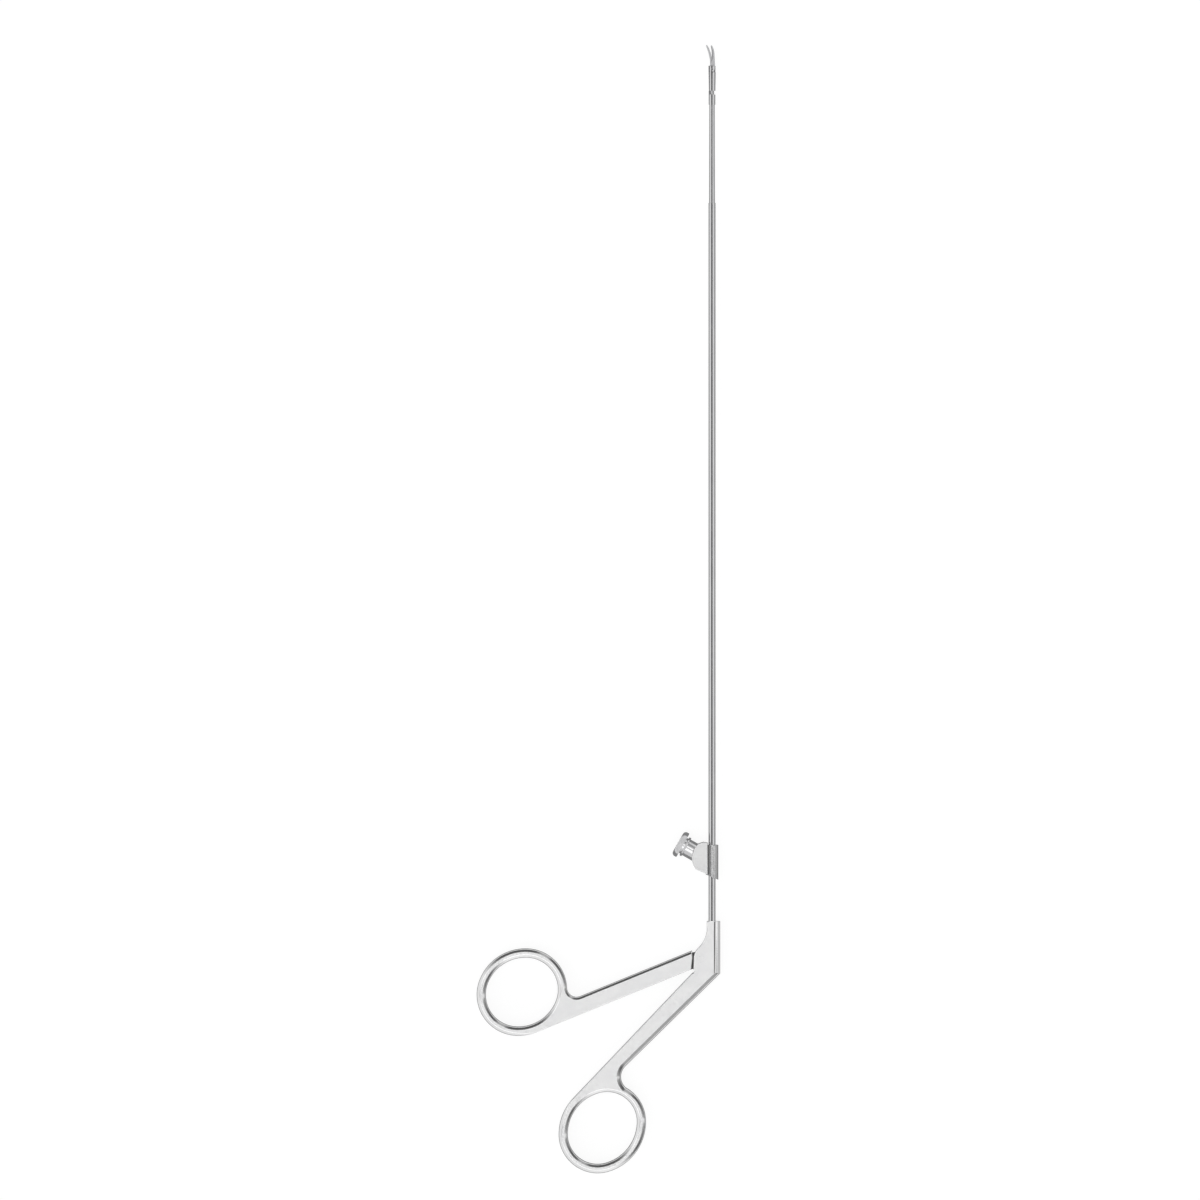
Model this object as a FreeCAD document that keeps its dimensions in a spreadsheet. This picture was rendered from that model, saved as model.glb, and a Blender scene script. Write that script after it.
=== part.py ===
"""Microlaryngeal scissors: ring handles, a flushed tube shaft, a push rod and two small curved blades.

The instrument lies flat. X runs to the back of the handle, Y along the shaft to the blades, Z up.
The origin is on the axis of the handle pivot, in the plane that the instrument rests on.
"""
import FreeCAD, Part
import math
import os

import Sketcher
from FreeCAD import Base

doc = FreeCAD.newDocument("microlaryngeal_scissors")

# Driving dimensions, in millimetres and degrees
SIZES = {
    # handle body
    "handle_thickness": 5.2,
    "body_front": 10.9,
    "body_back": 5.65,
    "body_foot": 4.0,
    "nose_side": 1.83,
    "nose_length": 2.7,
    "back_round": 1.83,
    "edge_chamfer": 0.4,
    "shaft_offset": 3.3,
    "cheek_edge": 1.95,
    # fixed arm and its ring
    "fixed_ring_side": 28.0,
    "fixed_ring_low": 48.1,
    "fixed_ring_long": 13.35,
    "fixed_ring_short": 11.85,
    "fixed_ring_tilt": 53.0,
    "fixed_neck_round": 4.2,
    "fixed_neck_length": 6.15,
    # moving arm and its ring
    "moving_ring_side": 50.95,
    "moving_ring_low": 9.35,
    "moving_ring_long": 13.1,
    "moving_ring_short": 12.15,
    "moving_ring_tilt": 32.0,
    "moving_neck_round": 2.7,
    "moving_neck_length": 3.75,
    "moving_neck_drop": 2.48,
    "shoulder_gap": 0.45,
    "shoulder_top": 2.5,
    "shoulder_foot": 2.85,
    "ring_band": 2.6,
    "ring_chamfer": 0.75,
    # pivot, tongue and pocket
    "pivot_pin_diameter": 1.8,
    "tongue_thickness": 3.0,
    "tongue_end": 4.6,
    "tongue_half_width": 1.25,
    "pocket_end": 4.9,
    "pocket_top": 2.9,
    "pocket_foot": 3.3,
    "side_clearance": 0.05,
    "turning_clearance": 0.02,
    # shaft tubes
    "tube_diameter": 2.0,
    "tube_seat": 5.0,
    "tube_wall": 0.22,
    "tube_chamfer": 0.06,
    "front_reach": 38.1,
    "plug_wall": 0.17,
    "front_tube_wall": 0.16,
    "front_tube_plug": 6.0,
    # push rod and its rear end
    "rod_play": 0.07,
    "rod_travel": 0.64,
    "rod_spigot_diameter": 0.8,
    "rod_spigot_length": 0.9,
    "rod_reach": 4.3,
    "rod_end_thickness": 1.4,
    "rod_end_width": 2.0,
    "rod_end_top": 1.6,
    "cross_pin_diameter": 0.9,
    "bush_length": 2.0,
    "seal_length": 0.8,
    # jaw head
    "jaw_pivot": 253.9,
    "collar_reach": 10.1,
    "collar_seat": 2.2,
    "notch_drop": 6.1,
    "notch_length": 1.1,
    "head_rise": 1.05,
    "collar_wall": 0.12,
    "head_flare": 0.13,
    "head_lip": 0.15,
    "head_play": 0.055,
    "bore_drop": 0.85,
    "cheek_left": 0.62,
    "notch_reach": 0.68,
    "cheek_right": 0.46,
    "window_foot": 0.85,
    "window_round": 0.2,
    "slot_half_width": 0.7,
    "slot_drop": 2.7,
    "strap_front": 0.45,
    "strap_back": 0.1,
    # blades
    "jaw_pin_diameter": 0.6,
    "blade_thickness": 0.38,
    "blade_gap": 0.02,
    "blade_clearance": 0.02,
    "blade_swing": 6.0,
    "blade_length": 6.9,
    "blade_back": 0.88,
    "blade_root": 0.53,
    "edge_curve": 9.94,
    "bevel_width": 0.36,
    "front_bevel_curve": 5.2,
    "front_bevel_reach": 0.29,
    "rear_bevel_curve": 20.0,
    "rear_bevel_side": 18.3,
    "rear_bevel_rise": 6.1,
    "tail_half_width": 0.45,
    "cam_far": 1.89,
    "drive_pin_diameter": 0.4,
    "cam_clearance": 0.06,
    "fork_play": 0.03,
    "fork_slot_drop": 3.1,
    "fork_lip": 0.3,
    # flushing port
    "port_height": 27.8,
    "port_angle": 60.5,
    "saddle_diameter": 3.6,
    "saddle_below": 5.1,
    "saddle_slant": 1.5,
    "saddle_above": 4.9,
    "block_thickness": 4.6,
    "block_side": 1.25,
    "block_end_round": 5.24,
    "barrel_diameter": 5.1,
    "barrel_start": 3.6,
    "barrel_end": 8.4,
    "flange_end": 11.15,
    "flange_width": 7.7,
    "flange_rim": 1.6,
    "flange_slope": 1.1,
    "flange_ring": 0.65,
    "flange_ring_diameter": 5.9,
    "flange_neck_diameter": 4.9,
    "luer_mouth": 4.27,
    "luer_depth": 4.4,
    "luer_taper": 0.06,
    "port_spigot_diameter": 3.0,
    "port_spigot_foot": 4.6,
    "port_spigot_top": 6.1,
    "flush_bore": 1.2,
}

# Sizes that follow others, as formulas
LINKED = {
    "tube_bore": "tube_diameter - 2 * tube_wall",
    "front_tube_diameter": "tube_diameter - 2 * plug_wall",
    "front_tube_bore": "front_tube_diameter - 2 * front_tube_wall",
    "rod_diameter": "front_tube_bore - 2 * rod_play",
    "collar_diameter": "front_tube_diameter + 2 * collar_wall",
    "head_diameter": "collar_diameter + 2 * head_flare",
    "head_bore": "rod_diameter + 2 * head_play",
    "fork_diameter": "head_bore - 2 * fork_play",
    "tube_end": "jaw_pivot - front_reach",
    "rod_front": "jaw_pivot - rod_reach",
    "collar_start": "jaw_pivot - collar_reach",
    "notch_end": "jaw_pivot - notch_drop",
    "notch_start": "notch_end - notch_length",
    "head_end": "jaw_pivot + head_rise",
    "head_bore_end": "jaw_pivot - bore_drop",
    "slot_foot": "jaw_pivot - slot_drop",
    "fork_slot_foot": "jaw_pivot - fork_slot_drop",
    "saddle_foot": "port_height - saddle_below",
    "saddle_top": "port_height + saddle_above",
}

HALF_CIRCLE = "half circle"

sheet = doc.addObject("Spreadsheet::Sheet", "Sizes")
for row, (alias, value) in enumerate(SIZES.items(), start=1):
    sheet.set(f"A{row}", alias)
    sheet.set(f"B{row}", str(value))
    sheet.setAlias(f"B{row}", alias)
doc.recompute()


def spell(text):
    """A formula in the words of the sheet, with each size's name put in full."""
    words = []
    word = ""
    for sign in text + " ":
        if sign.isalnum() or sign == "_":
            word += sign
            continue
        if word in LINKED:
            word = f"({spell(LINKED[word])})"
        elif word in SIZES:
            word = f"Sizes.{word}"
        words.append(word)
        words.append(sign)
        word = ""
    return "".join(words).strip()


def number(text):
    """The present value of a formula."""
    found = sheet.evalExpression(spell(str(text)))
    return float(getattr(found, "Value", found))


def bind(thing, **formulas):
    """Tie properties of an object to formulas; a double underscore in a name stands for a dot."""
    for name, formula in formulas.items():
        thing.setExpression(name.replace("__", "."), spell(str(formula)))


def settle(thing, x="0", y="0", z="0", turn=None):
    """Place an object by formulas, turned about Z where a turn is given."""
    for axis, formula in zip("xyz", (x, y, z)):
        thing.setExpression(f".Placement.Base.{axis}", spell(formula))
    if turn is not None:
        thing.Placement.Rotation = FreeCAD.Rotation(Base.Vector(0, 0, 1), 1)
        thing.setExpression(".Placement.Rotation.Angle", spell(turn))


def outline(body, name, corners):
    """A closed sketch in the body's XY plane.

    Each corner is (x, y) or (x, y, radius, side): the edge that leaves the corner is straight, or an
    arc of that radius whose centre lies to the left (side 1) or right (side -1) of the way along it.
    The radius HALF_CIRCLE makes the arc a half circle.
    """
    sketch = body.newObject("Sketcher::SketchObject", name)
    plane = next(p for p in body.Origin.OriginFeatures if p.Role == "XY_Plane")
    sketch.AttachmentSupport = (plane, "")
    sketch.MapMode = "FlatFace"
    spots = [Base.Vector(number(c[0]), number(c[1]), 0) for c in corners]
    starts = []
    for i, corner in enumerate(corners):
        a, b = spots[i], spots[(i + 1) % len(spots)]
        if len(corner) == 2:
            sketch.addGeometry(Part.LineSegment(a, b), False)
            starts.append((1, 2))
            continue
        half = (b - a) * 0.5
        radius = half.Length if corner[2] == HALF_CIRCLE else number(corner[2])
        side = corner[3]
        left = Base.Vector(-half.y, half.x, 0)
        left.normalize()
        reach = math.sqrt(max(radius**2 - half.Length**2, 0))
        middle = a + half + left * (side * reach)
        bulge = middle - left * (side * radius)
        sketch.addGeometry(Part.Arc(a, bulge, b), False)
        starts.append((1, 2) if side > 0 else (2, 1))
    for i in range(len(corners)):
        j = (i + 1) % len(corners)
        sketch.addConstraint(Sketcher.Constraint("Coincident", i, starts[i][1], j, starts[j][0]))
    for i, corner in enumerate(corners):
        for kind, value, formula in zip(("DistanceX", "DistanceY"), spots[i], corner):
            at = sketch.addConstraint(Sketcher.Constraint(kind, -1, 1, i, starts[i][0], value))
            sketch.setExpression(f"Constraints[{at}]", spell(str(formula)))
        if len(corner) == 4 and corner[2] == HALF_CIRCLE:
            sketch.addConstraint(Sketcher.Constraint("Symmetric", i, 1, i, 2, i, 3))
        elif len(corner) == 4:
            at = sketch.addConstraint(Sketcher.Constraint("Radius", i, number(corner[2])))
            sketch.setExpression(f"Constraints[{at}]", spell(str(corner[2])))
    return sketch


def plate(name, corners, low, height, x="0", y="0", turn=None):
    """A body cut from plate: the outline's shape between two levels of Z."""
    body = doc.addObject("PartDesign::Body", name)
    sketch = outline(body, f"{name}_outline", corners)
    pad = body.newObject("PartDesign::Pad", f"{name}_pad")
    pad.Profile = sketch
    bind(pad, Length=height)
    settle(body, x, y, low, turn)
    doc.recompute()
    return body


def turned(name, corners, x="shaft_offset", y="0", z="handle_thickness / 2", turn=None):
    """A body turned in a lathe about its own Y axis from a half profile of (radius, y) corners."""
    body = doc.addObject("PartDesign::Body", name)
    sketch = outline(body, f"{name}_profile", corners)
    turning = body.newObject("PartDesign::Revolution", f"{name}_turning")
    turning.Profile = sketch
    turning.ReferenceAxis = (sketch, ["V_Axis"])
    turning.Angle = 360
    settle(body, x, y, z, turn)
    doc.recompute()
    return body


def pin(name, diameter, length, low, x="0", y="0"):
    """A plain round pin that stands along Z."""
    rod = doc.addObject("Part::Cylinder", name)
    bind(rod, Radius=f"({diameter}) / 2", Height=length)
    settle(rod, x, y, low)
    return rod


def block(name, x, y, z, length, width, height):
    """A square block from its low corner and its three sizes."""
    box = doc.addObject("Part::Box", name)
    bind(box, Length=length, Width=width, Height=height)
    settle(box, x, y, z)
    return box


def join(name, *pieces):
    """One solid from several that share material."""
    fused = doc.addObject("Part::MultiFuse", name)
    fused.Shapes = list(pieces)
    fused.Refine = True
    doc.recompute()
    return fused


def cut(name, base, *tools):
    """The base with each tool's space taken out."""
    for i, tool in enumerate(tools):
        last = i == len(tools) - 1
        less = doc.addObject("Part::Cut", name if last else f"{name}_cut_{i + 1}")
        less.Base = base
        less.Tool = tool
        base = less
    doc.recompute()
    return base


def break_edges(body, name, size, chosen):
    """Chamfer the edges of a body that the test picks."""
    base = body.Tip
    edges = [f"Edge{i + 1}" for i, edge in enumerate(body.Shape.Edges) if chosen(edge)]
    chamfer = body.newObject("PartDesign::Chamfer", name)
    chamfer.Base = (base, edges)
    bind(chamfer, Size=size)
    doc.recompute()


def on_level(edge, *levels):
    """Does the whole edge lie at one of these heights, in the body's own frame?"""
    box = edge.BoundBox
    return any(abs(box.ZMin - level) < 1e-4 and abs(box.ZMax - level) < 1e-4 for level in levels)


def on_ring(ring, turn, inset="0"):
    """A point of a ring's outline, as two formulas, with the turn measured from the long axis."""
    long = f"({ring}_ring_long - ({inset}))"
    short = f"({ring}_ring_short - ({inset}))"
    tilt = f"{ring}_ring_tilt"
    along = f"{long} * cos({turn})"
    across = f"{short} * sin({turn})"
    x = f"-{ring}_ring_side + {along} * cos({tilt}) - {across} * sin({tilt})"
    y = f"-{ring}_ring_low + {along} * sin({tilt}) + {across} * cos({tilt})"
    return x, y


def mean_radius(ring):
    """The mean radius of the middle of a ring's band, as a formula."""
    return f"({ring}_ring_long + {ring}_ring_short - ring_band) / 2"


def clear_of_ring(ring):
    """A test for edges that end outside the middle of a ring's band."""
    centre = Base.Vector(-number(f"{ring}_ring_side"), -number(f"{ring}_ring_low"), 0)
    reach = number(f"({ring}_ring_long + {ring}_ring_short) / 2 - ring_band / 4")

    def clear(edge):
        ends = [Base.Vector(v.X, v.Y, 0) for v in edge.Vertexes]
        return all((end - centre).Length > reach for end in ends)

    return clear


def oval(long, short, inset):
    """The corners of an oval of four arcs, from its half lengths and a distance that it is set in by.

    The arcs at the ends and at the sides meet on a line that rises 4 for every 3 along the long axis,
    which fixes both radii.
    """
    end = f"(1.5 * {short} - 0.5 * {long} - {inset})"
    side = f"(2 * {long} - {short} - {inset})"
    x = f"(1.5 * ({long} - {short}) + 0.6 * {end})"
    y = f"(0.8 * {end})"
    return [
        (x, f"-{y}", end, 1),
        (x, y, side, 1),
        (f"-{x}", y, end, 1),
        (f"-{x}", f"-{y}", side, 1),
    ]


def finger_ring(ring):
    """An oval finger ring with broken edges, as tall as the handle is thick."""
    ovals = []
    for side, inset in (("outside", "0"), ("inside", "ring_band")):
        ovals.append(
            plate(
                f"{ring}_ring_{side}",
                oval(f"{ring}_ring_long", f"{ring}_ring_short", inset),
                "0",
                "handle_thickness",
                f"-{ring}_ring_side",
                f"-{ring}_ring_low",
                f"{ring}_ring_tilt",
            )
        )
    band = cut(f"{ring}_ring_band", *ovals)
    chamfered = doc.addObject("Part::Chamfer", f"{ring}_ring")
    chamfered.Base = band
    top = number("handle_thickness")
    size = number("ring_chamfer")
    edges = enumerate(band.Shape.Edges, start=1)
    chamfered.Edges = [(i, size, size) for i, edge in edges if on_level(edge, 0, top)]
    doc.recompute()
    return chamfered


MIDDLE = "handle_thickness / 2"
STACK = "(blade_thickness + blade_gap / 2 + blade_clearance)"
CLOSED_CAM = "(cam_far - rod_travel)"


def fixed_handle():
    """The body that holds the shaft, with the lower arm and its finger ring."""
    neck_x, neck_y = on_ring("fixed", "8")
    corners = [
        ("body_back", "body_front"),
        ("nose_side", "body_front"),
        ("nose_side", "body_front - nose_length", "8.3", -1),
        ("nose_side - 1.53", "4.25"),
        ("-1.25", "shoulder_top", "6", 1),
        ("-cheek_edge + 0.05", "0.84"),
        ("-cheek_edge - 0.05", "-2.95", "0.52", -1),
        ("-cheek_edge - 0.36", "-3.9"),
        on_ring("fixed", "83"),
        (*on_ring("fixed", "90", "ring_band / 2"), mean_radius("fixed"), -1),
        on_ring("fixed", "-10", "ring_band / 2"),
        (neck_x, neck_y, "fixed_neck_round", -1),
        (f"{neck_x} + 0.06", f"{neck_y} + fixed_neck_length"),
        ("body_back", "-body_foot"),
    ]
    core = plate("fixed_core", corners, "0", "handle_thickness")
    top = number("handle_thickness")
    foot = -number("body_foot")
    off_ring = clear_of_ring("fixed")

    def on_arm(edge):
        return on_level(edge, 0, top) and edge.BoundBox.YMin < foot and off_ring(edge)

    break_edges(core, "fixed_arm_chamfer", "edge_chamfer", on_arm)
    slab = block(
        "back_slab",
        "-2 * fixed_ring_side",
        "-2 * fixed_ring_low",
        "0",
        "2 * fixed_ring_side + body_back",
        "2 * fixed_ring_low + body_front",
        "handle_thickness",
    )
    doc.recompute()
    rounded_slab = doc.addObject("Part::Fillet", "back_rounding")
    rounded_slab.Base = slab
    radius = number("back_round")
    back = number("body_back")
    rounded_slab.Edges = [
        (i + 1, radius, radius)
        for i, e in enumerate(slab.Shape.Edges)
        if on_level(e, 0, top) and e.BoundBox.XMin > back - 1e-4
    ]
    body = doc.addObject("Part::Common", "fixed_body")
    body.Base = core
    body.Tool = rounded_slab
    doc.recompute()
    pocket = plate(
        "tongue_pocket",
        [
            ("pocket_end", "pocket_top"),
            ("-cheek_edge - 1", "pocket_top"),
            ("-cheek_edge - 1", "-pocket_foot"),
            ("pocket_end", "-pocket_foot"),
        ],
        f"{MIDDLE} - tongue_thickness / 2 - side_clearance",
        "tongue_thickness + 2 * side_clearance",
    )
    bore = turned(
        "shaft_bore",
        [
            ("0", "pocket_top - 0.5"),
            ("tube_diameter / 2", "pocket_top - 0.5"),
            ("tube_diameter / 2", "body_front + 1"),
            ("0", "body_front + 1"),
        ],
    )
    hole = pin("pivot_hole", "pivot_pin_diameter", "handle_thickness", "0")
    whole = join("fixed_handle_blank", body, finger_ring("fixed"))
    return cut("fixed_handle", whole, pocket, bore, hole)


def moving_handle():
    """The upper arm and its finger ring, with the tongue that turns in the body's pocket."""
    neck_x, neck_y = on_ring("moving", "-28")
    shoulder = "-cheek_edge - shoulder_gap"
    corners = [
        (f"{shoulder} - 0.2", "-shoulder_foot"),
        (f"{shoulder} + 0.09", "0.37"),
        (shoulder, "shoulder_top"),
        (f"{neck_x} + moving_neck_length", f"{neck_y} - moving_neck_drop", "moving_neck_round", -1),
        (neck_x, neck_y),
        (*on_ring("moving", "-20", "ring_band / 2"), mean_radius("moving"), -1),
        on_ring("moving", "-112", "ring_band / 2"),
        on_ring("moving", "-101", "0.08"),
    ]
    arm = plate("moving_arm", corners, "0", "handle_thickness")
    top = number("handle_thickness")
    end = number(f"{shoulder} - shoulder_gap")
    off_ring = clear_of_ring("moving")

    def on_arm(edge):
        return on_level(edge, 0, top) and edge.BoundBox.XMin < end and off_ring(edge)

    break_edges(arm, "moving_arm_chamfer", "edge_chamfer", on_arm)
    tongue = plate(
        "tongue",
        [
            ("tongue_end - 0.1", "-tongue_half_width - 0.4"),
            ("tongue_end", "tongue_half_width - 0.45"),
            ("0.4", "shoulder_top - 0.15"),
            (f"{shoulder} - 1", "shoulder_top - 0.7"),
            (f"{shoulder} - 1", "-shoulder_foot - 0.1"),
            ("0.2", "-shoulder_foot + 0.5"),
        ],
        f"{MIDDLE} - tongue_thickness / 2",
        "tongue_thickness",
    )
    slot = block(
        "rod_end_slot",
        "shaft_offset - rod_end_width / 2 - 0.6",
        "-6",
        f"{MIDDLE} - rod_end_thickness / 2 - side_clearance",
        "tongue_end",
        "12",
        "rod_end_thickness + 2 * side_clearance",
    )
    pivot = pin("tongue_hole", "pivot_pin_diameter + 2 * turning_clearance", "handle_thickness", "0")
    cross = pin(
        "cross_pin_hole",
        "cross_pin_diameter + 2 * side_clearance",
        "handle_thickness",
        "0",
        "shaft_offset",
        "-rod_travel / 2",
    )
    ringed = join("moving_ringed_arm", arm, finger_ring("moving"))
    whole = join("moving_handle_blank", ringed, tongue)
    return cut("moving_handle", whole, slot, pivot, cross)


def handle_pin():
    """The pivot pin, ground flush with both faces of the body."""
    return pin("handle_pin", "pivot_pin_diameter", "handle_thickness", "0")


def port_axis_piece(name, corners):
    """A piece turned about the flushing port's axis, which meets the shaft's axis."""
    return turned(name, corners, "shaft_offset", "port_height", MIDDLE, "port_angle")


def flush_channel(name):
    """The straight way from the port into the shaft."""
    end = "port_spigot_top + 0.5"
    half = "flush_bore / 2"
    return port_axis_piece(name, [("0", "0"), (half, "0"), (half, end), ("0", end)])


def shaft_tube():
    """The main tube, seated in the handle body, with the port's side hole and a step in its bore."""
    tube = turned(
        "main_tube",
        [
            ("tube_bore / 2", "body_front - tube_seat"),
            ("tube_diameter / 2", "body_front - tube_seat"),
            ("tube_diameter / 2", "tube_end - tube_chamfer"),
            ("tube_diameter / 2 - tube_chamfer", "tube_end"),
            ("front_tube_diameter / 2", "tube_end"),
            ("front_tube_diameter / 2", "tube_end - front_tube_plug"),
            ("tube_bore / 2", "tube_end - front_tube_plug"),
        ],
    )
    return cut("shaft_tube", tube, flush_channel("side_hole"))


def front_tube():
    """The thinner tube, plugged into the main tube and into the head's collar."""
    return turned(
        "front_tube",
        [
            ("front_tube_bore / 2", "tube_end - front_tube_plug"),
            ("front_tube_diameter / 2", "tube_end - front_tube_plug"),
            ("front_tube_diameter / 2", "collar_start + collar_seat"),
            ("front_tube_bore / 2", "collar_start + collar_seat"),
        ],
    )


def head_blank(name):
    """The head before its slots are cut: a collar, then a gently flared round nose."""
    return turned(
        name,
        [
            ("front_tube_diameter / 2", "collar_start"),
            ("collar_diameter / 2", "collar_start"),
            ("collar_diameter / 2", "(notch_start + notch_end) / 2"),
            ("head_diameter / 2", "head_end - head_lip"),
            ("head_diameter / 2 - head_lip", "head_end"),
            ("0", "head_end"),
            ("0", "head_bore_end"),
            ("head_bore / 2", "head_bore_end"),
            ("head_bore / 2", "collar_start + collar_seat"),
            ("front_tube_diameter / 2", "collar_start + collar_seat"),
        ],
    )


def jaw_head():
    """The clevis that carries the blades, with its blade slot, side window and notch."""
    reach = "head_diameter"
    left = f"shaft_offset - {reach}"
    top = "head_end - slot_foot + 1"
    front = f"{MIDDLE} + {STACK}"
    window_low = "jaw_pivot - window_foot"
    rear = f"{MIDDLE} - {STACK}"
    width = f"{reach} + slot_half_width"
    stack = f"2 * {STACK}"
    slot = block("blade_slot", left, "slot_foot", rear, width, top, stack)
    opening = block("slot_opening", "shaft_offset", window_low, rear, reach, "window_foot + 3", stack)
    window = plate(
        "cheek_window",
        [
            (f"shaft_offset + {reach}", "head_end + 1"),
            ("shaft_offset + cheek_right", "head_end + 1"),
            ("shaft_offset + cheek_right", f"{window_low} + window_round", "window_round", 1),
            ("shaft_offset + cheek_right + window_round", window_low),
            (f"shaft_offset + {reach}", window_low),
        ],
        front,
        reach,
    )
    flat = block(
        "side_flat",
        left,
        "notch_end",
        rear,
        f"{reach} - cheek_left",
        "head_end - notch_end + 1",
        f"{reach} + {STACK}",
    )
    notch = "notch_end - notch_start"
    notch_front = block(
        "notch_front",
        "shaft_offset - notch_reach",
        "notch_start",
        f"{MIDDLE} - strap_front",
        f"2 * {reach}",
        notch,
        f"2 * {reach}",
    )
    notch_side = block(
        "notch_side",
        "shaft_offset + strap_back",
        "notch_start",
        f"{MIDDLE} - {reach}",
        reach,
        notch,
        f"2 * {reach}",
    )
    low = f"{MIDDLE} - {reach}"
    hole = pin("jaw_pin_hole", "jaw_pin_diameter", f"2 * {reach}", low, "shaft_offset", "jaw_pivot")
    tools = (slot, opening, window, flat, notch_front, notch_side, hole)
    return cut("jaw_head", head_blank("head_turning"), *tools)


def jaw_pin():
    """The blades' pivot pin, its ends ground to the head's round."""
    low = f"{MIDDLE} - head_diameter"
    bar = pin("jaw_pin_bar", "jaw_pin_diameter", "2 * head_diameter", low, "shaft_offset", "jaw_pivot")
    envelope = turned(
        "head_envelope",
        [
            ("0", "(notch_start + notch_end) / 2"),
            ("collar_diameter / 2", "(notch_start + notch_end) / 2"),
            ("head_diameter / 2", "head_end - head_lip"),
            ("0", "head_end - head_lip"),
        ],
    )
    trimmed = doc.addObject("Part::Common", "jaw_pin")
    trimmed.Base = bar
    trimmed.Tool = envelope
    doc.recompute()
    return trimmed


def guide_bush():
    """The bush in the body that guides the rod where it leaves the shaft."""
    top = "body_front - tube_seat - seal_length"
    return turned(
        "guide_bush",
        [
            ("rod_diameter / 2 + turning_clearance", f"{top} - bush_length"),
            ("tube_diameter / 2", f"{top} - bush_length"),
            ("tube_diameter / 2", top),
            ("rod_diameter / 2 + turning_clearance", top),
        ],
    )


def rod_seal():
    """The seal ring between the bush and the tube, which keeps the flushing fluid out of the handle."""
    top = "body_front - tube_seat"
    return turned(
        "rod_seal",
        [
            ("rod_diameter / 2 + turning_clearance / 2", f"{top} - seal_length"),
            ("tube_diameter / 2", f"{top} - seal_length"),
            ("tube_diameter / 2", top),
            ("rod_diameter / 2 + turning_clearance / 2", top),
        ],
    )


def saddle_outline():
    """The flat block's outline between the shaft's sleeve and the port's barrel."""
    return [
        ("shaft_offset - block_side", "port_height + 5.5"),
        ("shaft_offset - 2.5", "port_height + 5.7"),
        ("shaft_offset - 3.8", "port_height + 5.3", "block_end_round", 1),
        ("shaft_offset - 4.82", "port_height - 1.78", "0.5", 1),
        ("shaft_offset - 4.5", "port_height - 2.15"),
        ("shaft_offset - block_side", "port_height - 3.6"),
    ]


def port_saddle():
    """The sleeve that is soldered round the shaft and the block that carries the port."""
    sleeve = turned(
        "saddle_sleeve",
        [
            ("tube_diameter / 2", "saddle_foot"),
            ("saddle_diameter / 2", "saddle_foot"),
            ("saddle_diameter / 2", "saddle_top - 0.25"),
            ("saddle_diameter / 2 - 0.25", "saddle_top"),
            ("tube_diameter / 2", "saddle_top"),
        ],
    )
    slab = plate("saddle_block", saddle_outline(), f"{MIDDLE} - block_thickness / 2", "block_thickness")
    tube = turned(
        "saddle_bore",
        [
            ("0", "saddle_foot - 1"),
            ("tube_diameter / 2", "saddle_foot - 1"),
            ("tube_diameter / 2", "saddle_top + 2"),
            ("0", "saddle_top + 2"),
        ],
    )
    slant = plate(
        "sleeve_slant",
        [
            ("shaft_offset + saddle_diameter", "saddle_foot"),
            ("shaft_offset + saddle_diameter / 2", "saddle_foot"),
            ("shaft_offset - saddle_diameter / 2", "saddle_foot + saddle_slant"),
            ("shaft_offset - saddle_diameter", "saddle_foot + saddle_slant"),
            ("shaft_offset - saddle_diameter", "saddle_foot - 1"),
            ("shaft_offset + saddle_diameter", "saddle_foot - 1"),
        ],
        f"{MIDDLE} - saddle_diameter",
        "2 * saddle_diameter",
    )
    socket = port_axis_piece(
        "spigot_socket",
        [
            ("0", "port_spigot_foot"),
            ("port_spigot_diameter / 2", "port_spigot_foot"),
            ("port_spigot_diameter / 2", "port_spigot_top + 2"),
            ("0", "port_spigot_top + 2"),
        ],
    )
    whole = join("port_saddle_blank", sleeve, slab)
    return cut("port_saddle", whole, tube, slant, socket, flush_channel("saddle_channel"))


def port_connector():
    """The flushing port: a barrel with a locking flange and a tapered mouth."""
    rim_start = "flange_end - flange_rim"
    ring_end = "barrel_end + flange_ring"
    barrel = port_axis_piece(
        "port_barrel",
        [
            ("0", "barrel_start"),
            ("barrel_diameter / 2", "barrel_start"),
            ("barrel_diameter / 2", "barrel_end"),
            ("flange_ring_diameter / 2", "barrel_end"),
            ("flange_ring_diameter / 2", ring_end),
            ("flange_neck_diameter / 2", ring_end),
            ("flange_neck_diameter / 2", rim_start),
            ("flange_width / 2", rim_start),
            ("flange_width / 2", "flange_end - flange_slope"),
            ("flange_width / 2 - flange_slope", "flange_end"),
            ("0", "flange_end"),
        ],
    )
    seat = plate("barrel_seat", saddle_outline(), "-handle_thickness", "3 * handle_thickness")
    spigot = port_axis_piece(
        "port_spigot",
        [
            ("0", "port_spigot_foot"),
            ("port_spigot_diameter / 2", "port_spigot_foot"),
            ("port_spigot_diameter / 2", "port_spigot_top + 0.5"),
            ("0", "port_spigot_top + 0.5"),
        ],
    )
    whole = join("port_connector_blank", cut("port_barrel_trimmed", barrel, seat), spigot)
    slab = block(
        "flange_flats",
        "-2 * flange_end",
        "port_height - flange_end",
        "0",
        "3 * flange_end",
        "3 * flange_end",
        "handle_thickness",
    )
    flattened = doc.addObject("Part::Common", "port_connector_flattened")
    flattened.Base = whole
    flattened.Tool = slab
    doc.recompute()
    mouth = port_axis_piece(
        "luer_mouth_cone",
        [
            ("0", "flange_end - luer_depth"),
            ("luer_mouth / 2 - luer_taper * luer_depth / 2", "flange_end - luer_depth"),
            ("luer_mouth / 2", "flange_end"),
            ("0", "flange_end"),
        ],
    )
    return cut("port_connector", flattened, mouth, flush_channel("connector_channel"))


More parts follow.
